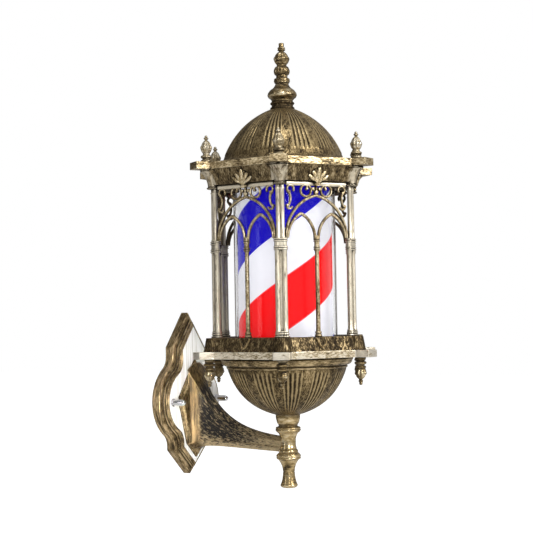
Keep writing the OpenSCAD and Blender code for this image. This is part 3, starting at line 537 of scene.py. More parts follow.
def corner_group():
    """A mask of the places near the six corners of the frame, Width degrees to either side."""
    group, given = new_group("corner mask", Vector=VECTOR, Width=VALUE)
    off = angle_within(given["Vector"], 30.0, 360 / SIDES)[0]
    width = given["Width"]
    return put_out(group, Corner=ranged(off, width - CORNER_SOFT, width + CORNER_SOFT, 0.85, 0.0))


def outward_group():
    """A mask of the surfaces that face away from the lantern's axis; the surfaces that face elsewhere get
    painted shade.
    """
    group, given = new_group("outward faces", Vector=VECTOR)
    away = vector_maths("ADD", stretched(given["Vector"], (1, 1, 0)), (0, REACH * MM, 0))
    flat = value_of(group, "NewGeometry", "Normal")
    facing = vector_maths("DOT_PRODUCT", vector_maths("NORMALIZE", away), flat, "Value")
    return put_out(group, Outward=ranged(facing, 0.1, 0.75))


def arm_flow_group():
    """Coordinates that run with the arm: out from the wall, and up from its lower edge."""
    group, given = new_group("arm flow", Vector=VECTOR)
    x, y, z = split(given["Vector"])
    out = y * (-1 / MM) - ARM_START
    top = maths("EXPONENT", out / -ARM_SWEEP) * (FOOT_UP - Z_EYE_TOP) + ARM_TOP
    rise = (z / MM - Z_EYE_BOTTOM) / (top - Z_EYE_BOTTOM)
    flow = value_of(group, "CombineXYZ", 0, {0: x, 1: out * (0.28 * MM), 2: rise * (60 * MM)})
    return put_out(group, Vector=flow, Out=out, Rise=rise)


WEAR_AND_SHADE_MASKS = wear_and_shade_group()
BRUSHED = brushed_group()
ANTIQUE = antique_group()
FLUTE_LINES = flute_group()
CORNERS = corner_group()
OUTWARD = outward_group()
ARM_FLOW = arm_flow_group()


# Materials

def new_material(name):
    """A new material and the object's own coordinates in its tree."""
    material = bpy.data.materials.new(name)
    material.use_nodes = True
    return material, value_of(material.node_tree, "TexCoord", "Object")


def shaded(material, inputs):
    """Feeds a material's shader."""
    feed_all(material.node_tree.nodes["Principled BSDF"], inputs)
    return material


def bumped(height, strength, distance, wear_and_shade=None):
    """A normal bent by a height, so many millimetres deep, over the rounded edges from the wear and shade
    masks.
    """
    inputs = {"Strength": strength, "Distance": distance * MM, "Height": height}
    if wear_and_shade:
        inputs["Normal"] = wear_and_shade["Normal"]
    return value_of(height.tree, "Bump", 0, inputs)


def darker(colour, share):
    return tuple(c * share for c in colour)


def antique_brass(name, stretch, body, rubbed, darkness, rubbing, pale=(0.8, 0.7, 0.52), radius=0.8,
                  reach=8, dull=0.38, flutes=None, corners=None, pale_above=None, painted_side_shade=None):
    """Antiqued cast brass. stretch draws the brush marks out along the axis with the least value."""
    material, spot = new_material(name)
    tree = spot.tree
    masks = {}
    if flutes:
        turn, low_end, high_end = flutes
        masks = used(tree, FLUTE_LINES, Vector=spot, Turn=turn, Low=low_end * MM, High=high_end * MM)
    # Paler corners: partly rubbed brass, partly painted highlight; noise makes them patchy
    if corners:
        worn = ranged(noise(stretched(spot, stretch), 150), 0.36, 0.56, 0.25, 1.0)
        masks["Rib"] = used(tree, CORNERS, Vector=spot, Width=corners)["Corner"] * worn
    # Faces that do not face outwards take painted shade
    if painted_side_shade:
        masks["Groove"] = (1.0 - used(tree, OUTWARD, Vector=spot)["Outward"]) * painted_side_shade
    if pale_above:
        masks["Rib"] = ranged(split(spot)[2], pale_above * MM, (pale_above + 1) * MM, 0.0, 0.9)
    finish = used(
        tree, ANTIQUE, Vector=spot, Stretch=stretch, Body=body, Rubbed=rubbed, Pale=pale, Darkness=darkness,
        Rubbing=rubbing, Radius=radius * MM, Reach=reach * MM, Dullness=dull, **masks
    )
    return shaded(material, {
        "Base Color": finish["Color"], "Roughness": finish["Roughness"], "Metallic": finish["Metallic"],
        "Specular IOR Level": 0.15, "Normal": bumped(finish["Height"], 0.35, 0.3, finish)
    })


CREAM = (0.92, 0.84, 0.68)
UPRIGHT_MARKS = (1, 1, 0.25)
ROUND_MARKS = (0.12, 0.12, 0.4)
FLAT_MARKS = (0.3, 0.3, 1)
DOME_FLUTES = (DOME_TURN, Z_DOME + 16, Z_NECK)
BOWL_FLUTES = (BOWL_TURN, Z_BOWL + 1, Z_RING - 2)

# The columns' pale cream body is partly painted highlight, standing for strong light on them
COLUMN_BRASS = antique_brass(
    "column brass", (1, 1, 0.14), (0.78, 0.68, 0.51), CREAM, 0.19, 0.46, reach=6, painted_side_shade=0.6
)
DOME_BRASS = antique_brass(
    "dome brass", UPRIGHT_MARKS, (0.25, 0.178, 0.082), (0.62, 0.47, 0.25), 0.42, 0.22,
    pale=(0.52, 0.40, 0.21), reach=3, dull=0.42, flutes=DOME_FLUTES
)
BOWL_BRASS = antique_brass(
    "bowl brass", UPRIGHT_MARKS, (0.18, 0.127, 0.058), (0.52, 0.39, 0.205), 0.44, 0.2,
    pale=(0.50, 0.375, 0.195), reach=3, dull=0.42, flutes=BOWL_FLUTES
)
RING_BRASS = antique_brass(
    "ring brass", FLAT_MARKS, (0.31, 0.225, 0.11), (0.68, 0.53, 0.30), 0.36, 0.26, reach=6
)
TURNED_BRASS = antique_brass(
    "turned brass", ROUND_MARKS, (0.50, 0.36, 0.165), (0.86, 0.72, 0.47), 0.28, 0.32, reach=16, dull=0.27,
    painted_side_shade=0.4
)
FINIAL_BRASS = antique_brass(
    "finial brass", ROUND_MARKS, (0.31, 0.22, 0.10), (0.88, 0.76, 0.52), 0.38, 0.26, reach=18, dull=0.26,
    painted_side_shade=0.7
)
# A paler finial brass for the standing small finials: painted highlight
LIT_FINIAL_BRASS = antique_brass(
    "pale brass", ROUND_MARKS, (0.56, 0.45, 0.27), CREAM, 0.32, 0.32, reach=11, dull=0.32, painted_side_shade=0.5
)
CARVED_BRASS = antique_brass(
    "carved brass", UPRIGHT_MARKS, (0.13, 0.09, 0.042), (0.52, 0.40, 0.22), 0.5, 0.16, reach=9, dull=0.5
)
CORNICE_BRASS = antique_brass(
    "cornice brass", (1, 1, 0.16), (0.21, 0.15, 0.072), (0.60, 0.48, 0.29), 0.48, 0.17,
    pale=(0.82, 0.73, 0.56), reach=9, dull=0.46, corners=5.6
)
TRACERY_BRASS = antique_brass(
    "tracery brass", (1, 1, 0.6), (0.44, 0.325, 0.165), (0.88, 0.76, 0.53), 0.3, 0.36,
    pale=(0.86, 0.78, 0.62), reach=7, pale_above=Z_RAIL, painted_side_shade=0.85
)
RIM_BRASS = antique_brass(
    "rim brass", (0.15, 1, 0.12), (0.30, 0.21, 0.10), (0.70, 0.53, 0.30), 0.38, 0.3
)
GOLD_BRASS = antique_brass(
    "gold brass", (1, 1, 0.3), (0.62, 0.46, 0.22), (0.92, 0.80, 0.57), 0.2, 0.5, reach=5, painted_side_shade=0.9
)
FOOT_BRASS = antique_brass(
    "foot brass", (1, 1, 0.2), (0.28, 0.19, 0.085), (0.62, 0.47, 0.26), 0.34, 0.26, reach=6
)
DECK_BRASS = antique_brass(
    "deck brass", FLAT_MARKS, (0.56, 0.44, 0.26), CREAM, 0.22, 0.5, pale=(0.94, 0.88, 0.76), radius=1.2,
    reach=6, corners=6.2
)
ROOF_BRASS = antique_brass(
    "roof brass", FLAT_MARKS, (0.40, 0.295, 0.15), (0.80, 0.67, 0.44), 0.34, 0.3, radius=1.2, reach=7
)


def polished_face():
    """The wall plate's front: pale brass with a fine upright grain, and broad brown patches at random that
    are painted reflection.
    """
    material, spot = new_material("polished face")
    grain = noise(stretched(spot, (1, 1, 0.03)), 420)
    reflection_patches = noise(stretched(spot, (1, 1, 0.2)), 40)
    tone = blended(ranged(grain, 0.35, 0.65), (0.88, 0.85, 0.78), (1.0, 0.99, 0.96))
    # Brown patches: painted reflection of darker surroundings in the polished face
    tone = blended(ranged(reflection_patches, 0.66, 0.8), tone, (0.55, 0.46, 0.33))
    return shaded(material, {
        "Base Color": tone, "Roughness": ranged(grain, 0.3, 0.7, 0.22, 0.34), "Metallic": 0.05,
        "Normal": bumped(grain, 0.2, 0.1)
    })


def pebbled_casting():
    """The arm's flanks: black patina with brass brushed along the arm, and a golden root."""
    material, spot = new_material("pebbled casting")
    flow = used(spot.tree, ARM_FLOW, Vector=spot)
    wear_and_shade = used(spot.tree, WEAR_AND_SHADE_MASKS, Radius=1.6 * MM, Reach=9 * MM)
    drawn = flow["Vector"]
    height = noise(drawn, 520, 4, 0.5, 0.6) * 0.7 + noise(drawn, 1200) * 0.3
    low_edge = ranged(flow["Rise"], 0.02, 0.45, 0.2, 0.0)
    far_end = ranged(flow["Out"], 60.0, 150.0, 0.0, 0.16)
    lift = noise(drawn, 60) * 0.22 + maths("MAXIMUM", low_edge, far_end)
    tone = blended(ranged(height + lift, 0.62, 0.82), (0.022, 0.02, 0.019), (0.56, 0.43, 0.24))
    drips = ranged(noise(stretched(spot, (1, 1, 0.12)), 260), 0.35, 0.65)
    golden = blended(drips, (0.045, 0.028, 0.01), (0.22, 0.145, 0.06))
    tone = blended(ranged(flow["Out"], 9.0, 21.0, 1.0, 0.0), tone, golden)
    tone = blended(wear_and_shade["Edge"] * 0.7, tone, (0.54, 0.39, 0.19))
    return shaded(material, {
        "Base Color": tone, "Roughness": ranged(height, 0.3, 0.7, 0.52, 0.38), "Metallic": 0.75,
        "Normal": bumped(height, 0.6, 0.6, wear_and_shade)
    })


def clear_plastic():
    """The outer tube: clear acrylic with a faint haze in places."""
    material, spot = new_material("clear acrylic")
    return shaded(material, {
        "Base Color": (0.99, 0.99, 1.0), "Roughness": ranged(noise(spot, 60), 0.4, 0.8, 0.0, 0.05),
        "Transmission Weight": 1.0, "Specular IOR Level": 0.06, "Specular Tint": (0.22, 0.22, 0.22),
        "IOR": 1.49
    })


# The drum's stripes: lead in metres, then turn, soft edges and starts as shares of a lead
STRIPE_LEAD = 0.312
STRIPE_TURN = -0.27
STRIPE_SOFT = 0.0025
STRIPE_WHITE = (0.78, 0.78, 0.82)
STRIPES = (
    (0.0, (0.008, 0.003, 0.46)), (0.266, STRIPE_WHITE), (0.5, (0.85, 0.004, 0.006)), (0.766, STRIPE_WHITE)
)


def striped_film():
    """Blue, white, red and white bands that climb round the drum, glowing a little as painted light that
    stands in for the lamp inside.
    """
    material, spot = new_material("striped film")
    x, y, z = split(spot)
    turn = maths("ARCTAN2", y + REACH * MM, x) / (2 * pi)
    phase = maths("FRACT", z / STRIPE_LEAD - turn + (4 + STRIPE_TURN))
    bands = add_node(spot.tree, "ValToRGB", {0: phase})
    elements = bands.color_ramp.elements
    ends = [start for start, colour in STRIPES[1:]] + [1.0]
    stops = []
    for (start, colour), end in zip(STRIPES, ends):
        stops += [(start + STRIPE_SOFT, colour), (end - STRIPE_SOFT, colour)]
    while len(elements) < len(stops):
        elements.new(0.5)
    for element, (place, colour) in zip(elements, stops):
        element.position = place
        element.color = (*colour, 1)
    cloud = noise(spot, 18, 3, 0.5)
    tone = Value(spot.tree, bands.outputs[0])
    tone = blended(ranged(cloud, 0.3, 0.7, 0.0, 0.12), tone, (0.6, 0.6, 0.66), "MULTIPLY")
    # The emission is painted light: a glow for the lamp inside the drum
    return shaded(material, {
        "Base Color": tone, "Emission Color": tone, "Emission Strength": 0.45, "Specular IOR Level": 0.05,
        "Roughness": ranged(cloud, 0.3, 0.7, 0.42, 0.5),
        "Normal": bumped(noise(spot, 900, 2, 0.5), 0.05, 0.05)
    })


def plain_metal(name, colour, rough, stretch=(1, 1, 1)):
    """Bright plated steel with fine turning marks."""
    material, spot = new_material(name)
    marks = noise(stretched(spot, stretch), 600)
    wear_and_shade = used(spot.tree, WEAR_AND_SHADE_MASKS, Radius=0.4 * MM, Reach=4 * MM)
    return shaded(material, {
        "Base Color": blended(ranged(marks, 0.35, 0.65), darker(colour, 0.82), colour),
        "Roughness": ranged(marks, 0.3, 0.7, rough, rough + 0.12), "Metallic": 1.0,
        "Normal": bumped(marks, 0.08, 0.05, wear_and_shade)
    })


def plain_plastic(name, colour, rough):
    """Moulded plastic with a faint grain, darker in its hollows as painted shade."""
    material, spot = new_material(name)
    grain = noise(spot, 700, 3)
    wear_and_shade = used(spot.tree, WEAR_AND_SHADE_MASKS, Radius=0.5 * MM, Reach=5 * MM)
    # Darker in hollows from ambient occlusion: painted shade
    tone = blended(wear_and_shade["Hollow"] * 0.4, colour, darker(colour, 0.5))
    return shaded(material, {
        "Base Color": blended(ranged(grain, 0.4, 0.7, 0.0, 0.15), tone, darker(colour, 0.85)),
        "Roughness": ranged(grain, 0.3, 0.7, rough, rough + 0.1), "Normal": bumped(grain, 0.15, 0.05, wear_and_shade)
    })


POLISHED_FACE = polished_face()
PEBBLED = pebbled_casting()
CHROME = plain_metal("bright chrome", (0.86, 0.86, 0.88), 0.08)

# Materials of the CAD nodes that stay as they are
KEPT = (
    (plain_metal("zinc steel", (0.62, 0.63, 0.66), 0.25),
     ["crossbar", "plate_studs", "arm_screws", "centre_tube", "base_nut", "column_screws", "dome_rod",
      "motor_screws", "motor_shaft"]),
    (plain_metal("motor case", (0.55, 0.56, 0.58), 0.32, (1, 1, 0.2)), ["motor"]),
    (plain_plastic("soft rubber", (0.03, 0.03, 0.03), 0.6), ["lower_gasket", "upper_gasket"]),
    (plain_plastic("ivory nylon", (0.75, 0.72, 0.62), 0.4), ["drive_pinion", "drum_gear", "top_bush"]),
    (plain_plastic("drum white", (0.82, 0.82, 0.84), 0.4), ["drum_floor", "drum_cap"]),
    (plain_plastic("holder white", (0.8, 0.8, 0.78), 0.3), ["lamp_holder"]),
    (plain_plastic("opal lamp", (0.9, 0.9, 0.88), 0.25), ["lamp"]),
    (clear_plastic(), ["clear_tube"]),
    (striped_film(), ["striped_drum"]),
)
ROUNDED_OFF = (
    ("base_plate", DECK_BRASS, 1.4), ("top_plate", ROOF_BRASS, 2.2), ("cornice", CORNICE_BRASS, 1.0)
)
WELD_GAP = 0.01


def paint(name, material):
    """Gives a CAD node that stays its material."""
    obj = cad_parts[name]
    obj.data.materials.clear()
    obj.data.materials.append(material)
    return obj


for finish_material, names in KEPT:
    for cad_name in names:
        paint(cad_name, finish_material)
paint("base_skirt", CARVED_BRASS)
for cad_name, finish_material, width in ROUNDED_OFF:
    casting = paint(cad_name, finish_material)
    casting.modifiers.new("weld", "WELD").merge_threshold = WELD_GAP * MM
    round_edges(casting, width, 2, 35)


# Wall plate

SHOULDER_X = 43
SHOULDER_UP = 88
SHOULDER_DOWN = 79
SIDE_R = 66
FILLET_R = 24
FACE_INSET = 14
CAVITY_INSET = 15
CAVITY_DEPTH = 21

# Insets of the plate's outline at depths from the wall
RIM_OUTSIDE = [
    (0.5, 0), (0, 0.6), (0, 12.4), (0.5, 14), (2.2, 15.6), (4.6, 16.2), (6.4, 16.3), (7.6, 16.6),
    (8.1, 17.3), (7.5, 17.8), (6.9, 18.3), (6.7, 19), (7, 19.8), (8.2, 20.3), (9.4, 20.3),
    (9.8, 20.8), (9.2, 21.3), (8.9, 22), (9.2, 22.9), (10.2, 23.4), (11.3, 23.4), (11.8, 23.8),
    (12.2, 24.6), (13, 25), (FACE_INSET, 25)
]


def half_plate(d):
    """The right half of the plate's outline drawn in by d, from its upper tip down."""
    side_r = SIDE_R - d
    centre_x = PLATE_W / 2 - SIDE_R
    x = SHOULDER_X - d
    tips = []
    for tip, shoulder in ((TIP_UP, SHOULDER_UP), (TIP_DOWN, SHOULDER_DOWN)):
        slope = hypot(SHOULDER_X, tip - shoulder)
        tips.append((tip - d * slope / SHOULDER_X, shoulder - d * (slope - tip + shoulder) / SHOULDER_X))
    fillet_x = x + FILLET_R - centre_x
    fillet_z = sqrt((side_r + FILLET_R) ** 2 - fillet_x ** 2)
    meet = degrees(atan2(fillet_z, fillet_x))
    upper = arc((x + FILLET_R, fillet_z), FILLET_R, 180, 180 + meet, 6)
    side = arc((centre_x, 0), side_r, meet, -meet, 24)
    lower = [(px, -pz) for px, pz in reversed(upper)]
    return [(0, tips[0][0]), (x, tips[0][1])] + upper + side + lower + [(x, -tips[1][1]), (0, -tips[1][0])]


def plate_ring(d, depth):
    right = half_plate(d)
    outline = right + [(-x, z) for x, z in reversed(right[1:-1])]
    return [(x, -depth, z) for x, z in outline]


def make_wall_plate():
    inside = [(CAVITY_INSET, CAVITY_DEPTH), (CAVITY_INSET, 1), (CAVITY_INSET - 1, 0)]
    rim = ringed([plate_ring(d, depth) for d, depth in inside + RIM_OUTSIDE], False)
    piece("plate_rim", rim, RIM_BRASS, ["wall_plate"])
    slab = [(CAVITY_INSET, CAVITY_DEPTH), (CAVITY_INSET, 24.6), (FACE_INSET, PLATE_DEPTH)]
    piece("plate_face", ringed([plate_ring(d, depth) for d, depth in slab]), POLISHED_FACE)


STUD_X = 58
NUT_PROUD = 26


def make_cap_nuts():
    nut = turned([
        (6.5, 0), (6.5, 1.4, 0.3), (5.9, 2.1), (4.3, 2.6), (4.3, 4), (5, 4.6),
        (5, NUT_PROUD - 6), (4.7, NUT_PROUD - 4.6, 0.5), (2.6, NUT_PROUD - 0.9, 0.2), (0.4, NUT_PROUD)
    ], 40)
    nuts = [moved(nut, shifted(side * STUD_X, -PLATE_DEPTH) @ spun(90, "X")) for side in (-1, 1)]
    piece("long_cap_nuts", joined(*nuts), CHROME, ["cap_nuts"], sharp=30)


# Arm

ARM_STEPS = 60


def arm_slice(d):
    """One slice of the arm, d out from its foot. Its corners are the ridges of the casting."""
    top = ARM_TOP + (FOOT_UP - Z_EYE_TOP) * exp(-d / ARM_SWEEP)
    bottom = Z_EYE_BOTTOM + 6 - 6 * d / ARM_L - 8 * exp(-d / 14)
    w = ARM_T / 2 + 17 * exp(-d / 15)
    low_ridge = min(9, (top - bottom) / 4)
    high_ridge = 1.3 * low_ridge
    right = [
        (0.3 * w, top), (w - 0.8, top - high_ridge + 0.8), (w - 0.8, top - high_ridge - 1),
        (w - 2, top - high_ridge - 2.4), (w - 2, bottom + low_ridge + 2.4),
        (w - 0.6, bottom + low_ridge + 1), (w - 0.6, bottom + low_ridge - 0.8), (0.4 * w, bottom)
    ]
    outline = right + [(-x, z) for x, z in reversed(right)]
    return [(x, -(ARM_START + d), z) for x, z in outline]


def make_arm():
    blade = ringed([arm_slice(ARM_L * (i / ARM_STEPS) ** 1.4) for i in range(ARM_STEPS + 1)])
    piece("arm_blade", blade, PEBBLED, ["arm"], sharp=24)
    half = [
        (0, FOOT_UP), (FOOT_W / 2, 8), (FOOT_W / 2 - 2, -8),
        (FOOT_W * 0.28, -0.74 * FOOT_DOWN), (0, -FOOT_DOWN)
    ]
    outline = half[:1] + [(-x, z) for x, z in half[1:-1]] + half[:0:-1]
    steps = ((0.3, 0), (0, 0.5), (0, 2.4), (0.6, 3.4), (2.2, 4.2), (3, 4.4), (5.2, FOOT_T))
    foot = ringed([[(x, y, z) for x, y in inset(outline, step)] for step, z in steps])
    foot = moved(foot, shifted(0, -PLATE_DEPTH) @ spun(90, "X"))
    piece("arm_foot", foot, FOOT_BRASS, sharp=20, bevel=0.4)
    eye = turned([
        (15, Z_EYE_BOTTOM), (15, Z_EYE_BOTTOM + 1.6, 0.6), (12.9, Z_EYE_BOTTOM + 5, 0.3),
        (11.8, Z_EYE_BOTTOM + 10), (11.8, Z_EYE_TOP - 5, -0.2), (13.4, Z_EYE_TOP)
    ])
    piece("arm_eye", moved(eye, on_axis()), TURNED_BRASS, sharp=38)


# Stem, bowl and dome

FLUTE_RUN = 7


def fluting(turn, z_from, z_to):
    """Depth of the grooves at an angle and height: sharp grooves with round ribs between."""
    spread = 360 / FLUTE_GROUPS

    def cut(angle, z):
        off = abs((degrees(angle) - turn + spread / 2) % spread - spread / 2)
        if off > 2.5 * FLUTE_PITCH:
            return 0
        nearest = min(abs(off - k * FLUTE_PITCH) for k in (0.5, 1.5))
        close = max(0, 1 - 2 * nearest / FLUTE_PITCH)
        strength = min(1, max(0, (z - z_from) / FLUTE_RUN), max(0, (z_to - z) / FLUTE_RUN))
        return FLUTE_DEPTH * strength * (1 - sqrt(1 - close * close))

    return cut


def lobing(count, depth, z_from, z_to):
    """Depth of the hollows between the lobes of a bulb."""

    def cut(angle, z):
        if not z_from < z < z_to:
            return 0
        swell = sin(pi * (z - z_from) / (z_to - z_from)) ** 0.6
        return depth * swell * (0.5 - 0.5 * cos(count * angle)) ** 2

    return cut


BOWL_FOOT_R = 20.6
BOWL_BOW = 13.5
BOWL_WALL = 4
RIBBED_SEGMENTS = 720


def make_bowl():
    mouth_r = width_of("bowl") / 2
    height = high("bowl").z - Z_BOWL
    inner_r = mouth_r - BOWL_WALL
    outline = [(0, 0)] + bowed((BOWL_FOOT_R, 0), (mouth_r, height - 2.5), BOWL_BOW, 26)
    outline += [(mouth_r, height - 2.5), (mouth_r, height), (inner_r, height), (inner_r, height - 4)]
    outline += bowed((inner_r, height - 4), (BOWL_FOOT_R - BOWL_WALL, 6), -BOWL_BOW, 10) + [(0, 6)]
    shape = revolved(outline, RIBBED_SEGMENTS, fluting(BOWL_TURN, 2, height - 3))
    piece("ribbed_bowl", moved(shape, on_axis(Z_BOWL)), BOWL_BRASS, ["bowl"], sharp=50)


def make_bowl_ring():
    r = width_of("bowl_ring") / 2
    h = Z_FLOOR - Z_RING
    outline = [(r - 15, 0), (r - 10.4, 0)]
    outline += bowed((r - 10.4, 0), (r - 9.2, 3.6), 0.9, 5) + [(r - 9.2, 3.6), (r - 9.8, 4.2)]
    outline += bowed((r - 9.4, 4.6), (r - 1.2, h - 6), 2.0, 10) + [(r - 1.2, h - 6), (r - 1.2, h - 5.4)]
    outline += bowed((r - 0.4, h - 5), (r - 0.4, h - 2.2), 0.4, 5) + [(r - 0.4, h - 2.2), (r - 2, h - 1)]
    outline += [(r - 2, h), (r - 15, h), (r - 15, 0)]
    ring = moved(revolved(outline, 120), on_axis(Z_RING))
    piece("ring_moulding", ring, RING_BRASS, ["bowl_ring"], sharp=30)


DOME_FOOT_R = 103
DOME_R = 92
DOME_TOP_R = 19.4
DOME_FOOT_H = 17
DOME_BOW = 10.5


def make_dome():
    height = Z_NECK - Z_DOME
    foot_r = DOME_FOOT_R
    outline = [(foot_r - 14, 0), (foot_r - 0.6, 0), (foot_r, 0.7), (foot_r, 2), (foot_r - 1, 3)]
    outline += bowed((foot_r - 2, 3.2), (DOME_R + 0.8, DOME_FOOT_H - 3.4), -1.6, 8)
    outline += [(DOME_R + 0.8, DOME_FOOT_H - 3.4), (DOME_R, DOME_FOOT_H - 2.2)]
    outline += bowed((DOME_R, DOME_FOOT_H), (DOME_TOP_R, height), DOME_BOW, 28) + [(DOME_TOP_R, height)]
    inner = bowed((DOME_TOP_R - 6, height - 6), (DOME_R - 4, DOME_FOOT_H - 3), -DOME_BOW, 10)
    outline += [(DOME_TOP_R - 12, height)] + inner + [(DOME_R - 4, 0), (foot_r - 14, 0)]
    shape = revolved(outline, RIBBED_SEGMENTS, fluting(DOME_TURN, DOME_FOOT_H - 2, height - 1))
    piece("ribbed_dome", moved(shape, on_axis(Z_DOME)), DOME_BRASS, ["dome"], sharp=50)


def make_stem():
    collar = turned([
        (13.6, 0, -0.3), (16, 4.5, 0.5), (19, 7.3, 0.9), (19, 10.4, 0.9), (18.4, 13.4), (15.6, 14.2),
        (14.8, 15.4), (15.2, 17, 0.6), (18.2, 24, 0.4), (19, 31.6, 0.4), (18.6, 33)
    ], 64)
    piece("turned_collar", moved(collar, on_axis(Z_EYE_TOP)), TURNED_BRASS, ["stem_collar"])
    drop = turned([
        (15, 0), (15.6, 0.8, 0.3), (16.5, 2.2, 0.5), (18.3, 3.6, 0.9), (18.6, 7, 0.8), (18.2, 10.4),
        (15.4, 12), (14.6, 13.5, -1.2), (9.4, 0.52 * DROP_H, -0.4), (9.4, 0.58 * DROP_H, -0.8),
        (12.8, DROP_H - 6, 0.9), (12.6, DROP_H - 2, 0.5), (8, DROP_H)
    ], 64)
    place = on_axis(Z_EYE_BOTTOM) @ spun(180, "X")
    piece("turned_drop", moved(drop, place), TURNED_BRASS, ["bottom_finial"])


def make_top_finial():
    neck = turned([
        (19, 0, 0.5), (18.6, 3.2), (17.2, 4, -0.3), (17.2, 7.4), (18.4, 8.2, 0.7), (18.4, 11),
        (17, 11.8), (16.8, 13)
    ], 64)
    piece("turned_neck", moved(neck, on_axis(Z_NECK)), CARVED_BRASS, ["neck_ring"])
    rows = [
        (16.8, 0), (16.8, 1.5), (19.5, 4.5, 0.6), (22.7, 8.2, 0.5), (22.7, 11, 0.4), (21.6, 14, 0.6),
        (15.4, 20, -0.8), (10.2, 28.2), (11.8, 29), (11.8, 30, 0.8), (12.2, 33.6, 0.5), (11.6, 36),
        (9, 37.2), (9, 41.2), (11.2, 42.4, 1.4), (11.4, 52.4, 0.8), (7.8, 55.4), (7.8, 58.2, 0.6),
        (11.8, 64.4, 1.4), (10.8, 71, 1), (4, 79), (4, 80), (5.8, 80.8, 0.5), (5.8, 82.4),
        (4.8, 83), (5.8, 83.6, 0.4), (5.6, 85.4), (4, 86.4), (4.2, 91.4, 0.3), (3, 92.5)
    ]
    lobes = lobing(8, 1.5, 58, 79)
    beads = lobing(14, 1.0, 42, 55)
    finial = turned(rows, 112, lambda angle, z: lobes(angle, z) + beads(angle, z))
    place = on_axis(Z_FINIAL) @ taller((Z_PEAK - Z_FINIAL) / rows[-1][1])
    piece("turned_finial", moved(finial, place), FINIAL_BRASS, ["top_finial"])


def make_small_finials():
    small = [
        (7.8, 0, 0.5), (7.8, 3.4), (6, 4.2), (6, 5.6), (8, 6.4, 0.6), (8, 9.4), (5.4, 10.6, -0.2),
        (5.4, 13.2, 0.6), (8.6, 18.6, 1.2), (7.6, 24, 0.9), (2.2, 31.4), (2, 32.2), (3, 33, 0.7),
        (3, 35.2), (2, 35.8), (2.4, 36.4, 0.4), (0.6, 38.5)
    ]
    hanging = [
        (7.8, 0, 0.5), (7.8, 3.4), (6, 4.4), (6, 6), (8.4, 6.8, 0.7), (8.4, 10.2), (6.2, 11.2),
        (6.2, 13, 0.2), (7.8, 13.8, 0.5), (7.8, 16.2), (6.6, 17.2, 0.6), (8.6, 22, 1.1), (7.4, 27.4, 0.8),
        (3, 33), (2.2, 34.2), (3.2, 35, 0.6), (3.2, 37), (2.2, 37.8, 0.4), (2.6, 39.4, 0.8), (0.6, 42)
    ]
    up = taller((high("corner_finial_1").z - Z_DOME) / small[-1][1])
    down = taller((low("hanging_finial_1").z - Z_FLOOR) / hanging[-1][1])
    standing = turned(small, 64, lobing(8, 1.3, 13.4, 31))
    points, faces = turned(hanging, 64, lobing(8, 1.2, 17.5, 33))
    drop = (points, [face[::-1] for face in faces])
    for i in range(1, SIDES + 1):
        # The standing finials take the paler brass: painted highlight
        above = moved(standing, at_corner(i, FINIAL_CIRCLE, Z_DOME) @ up)
        piece(f"small_finial_{i}", above, LIT_FINIAL_BRASS, [f"corner_finial_{i}"])
        # The hanging finials take the darker finial brass: painted shade under the base plate
        below = moved(drop, at_corner(i, FINIAL_CIRCLE, Z_FLOOR) @ down)
        piece(f"drop_finial_{i}", below, FINIAL_BRASS, [f"hanging_finial_{i}"])


# Columns

SHAFT_R = 4.1
SHAFT_OFF = 5.2
UPPER_R = 3.6
UPPER_OFF = 2.9
OVAL_STEPS = 12
BEAD_SWELL = 0.9
BEAD_STEPS = 6

# The group of collars at half height: its height, and which sixths of it have a bead
GROUP_H = 18
GROUP_STEP = GROUP_H / 6
GROUP_Z = SPRING_H - GROUP_H
GROUP_BEADS = (0, 1, 4, 5)


def oval(r, z):
    """A level ring round the two shafts of a column."""
    right = arc((0, SHAFT_OFF), r, 0, 180, OVAL_STEPS)
    left = arc((0, -SHAFT_OFF), r, 180, 360, OVAL_STEPS)
    return [(x, y, z) for x, y in right + left]


def oval_bead(r, z, h):
    """A round bead about the two shafts of a column."""
    inner_r = r - BEAD_SWELL
    rings = [oval(inner_r, z)]
    for i in range(1, BEAD_STEPS):
        angle = pi * i / BEAD_STEPS
        rings.append(oval(inner_r + BEAD_SWELL * sin(angle) ** 0.7, z + h / 2 - h / 2 * cos(angle)))
    return ringed(rings + [oval(inner_r, z + h)])


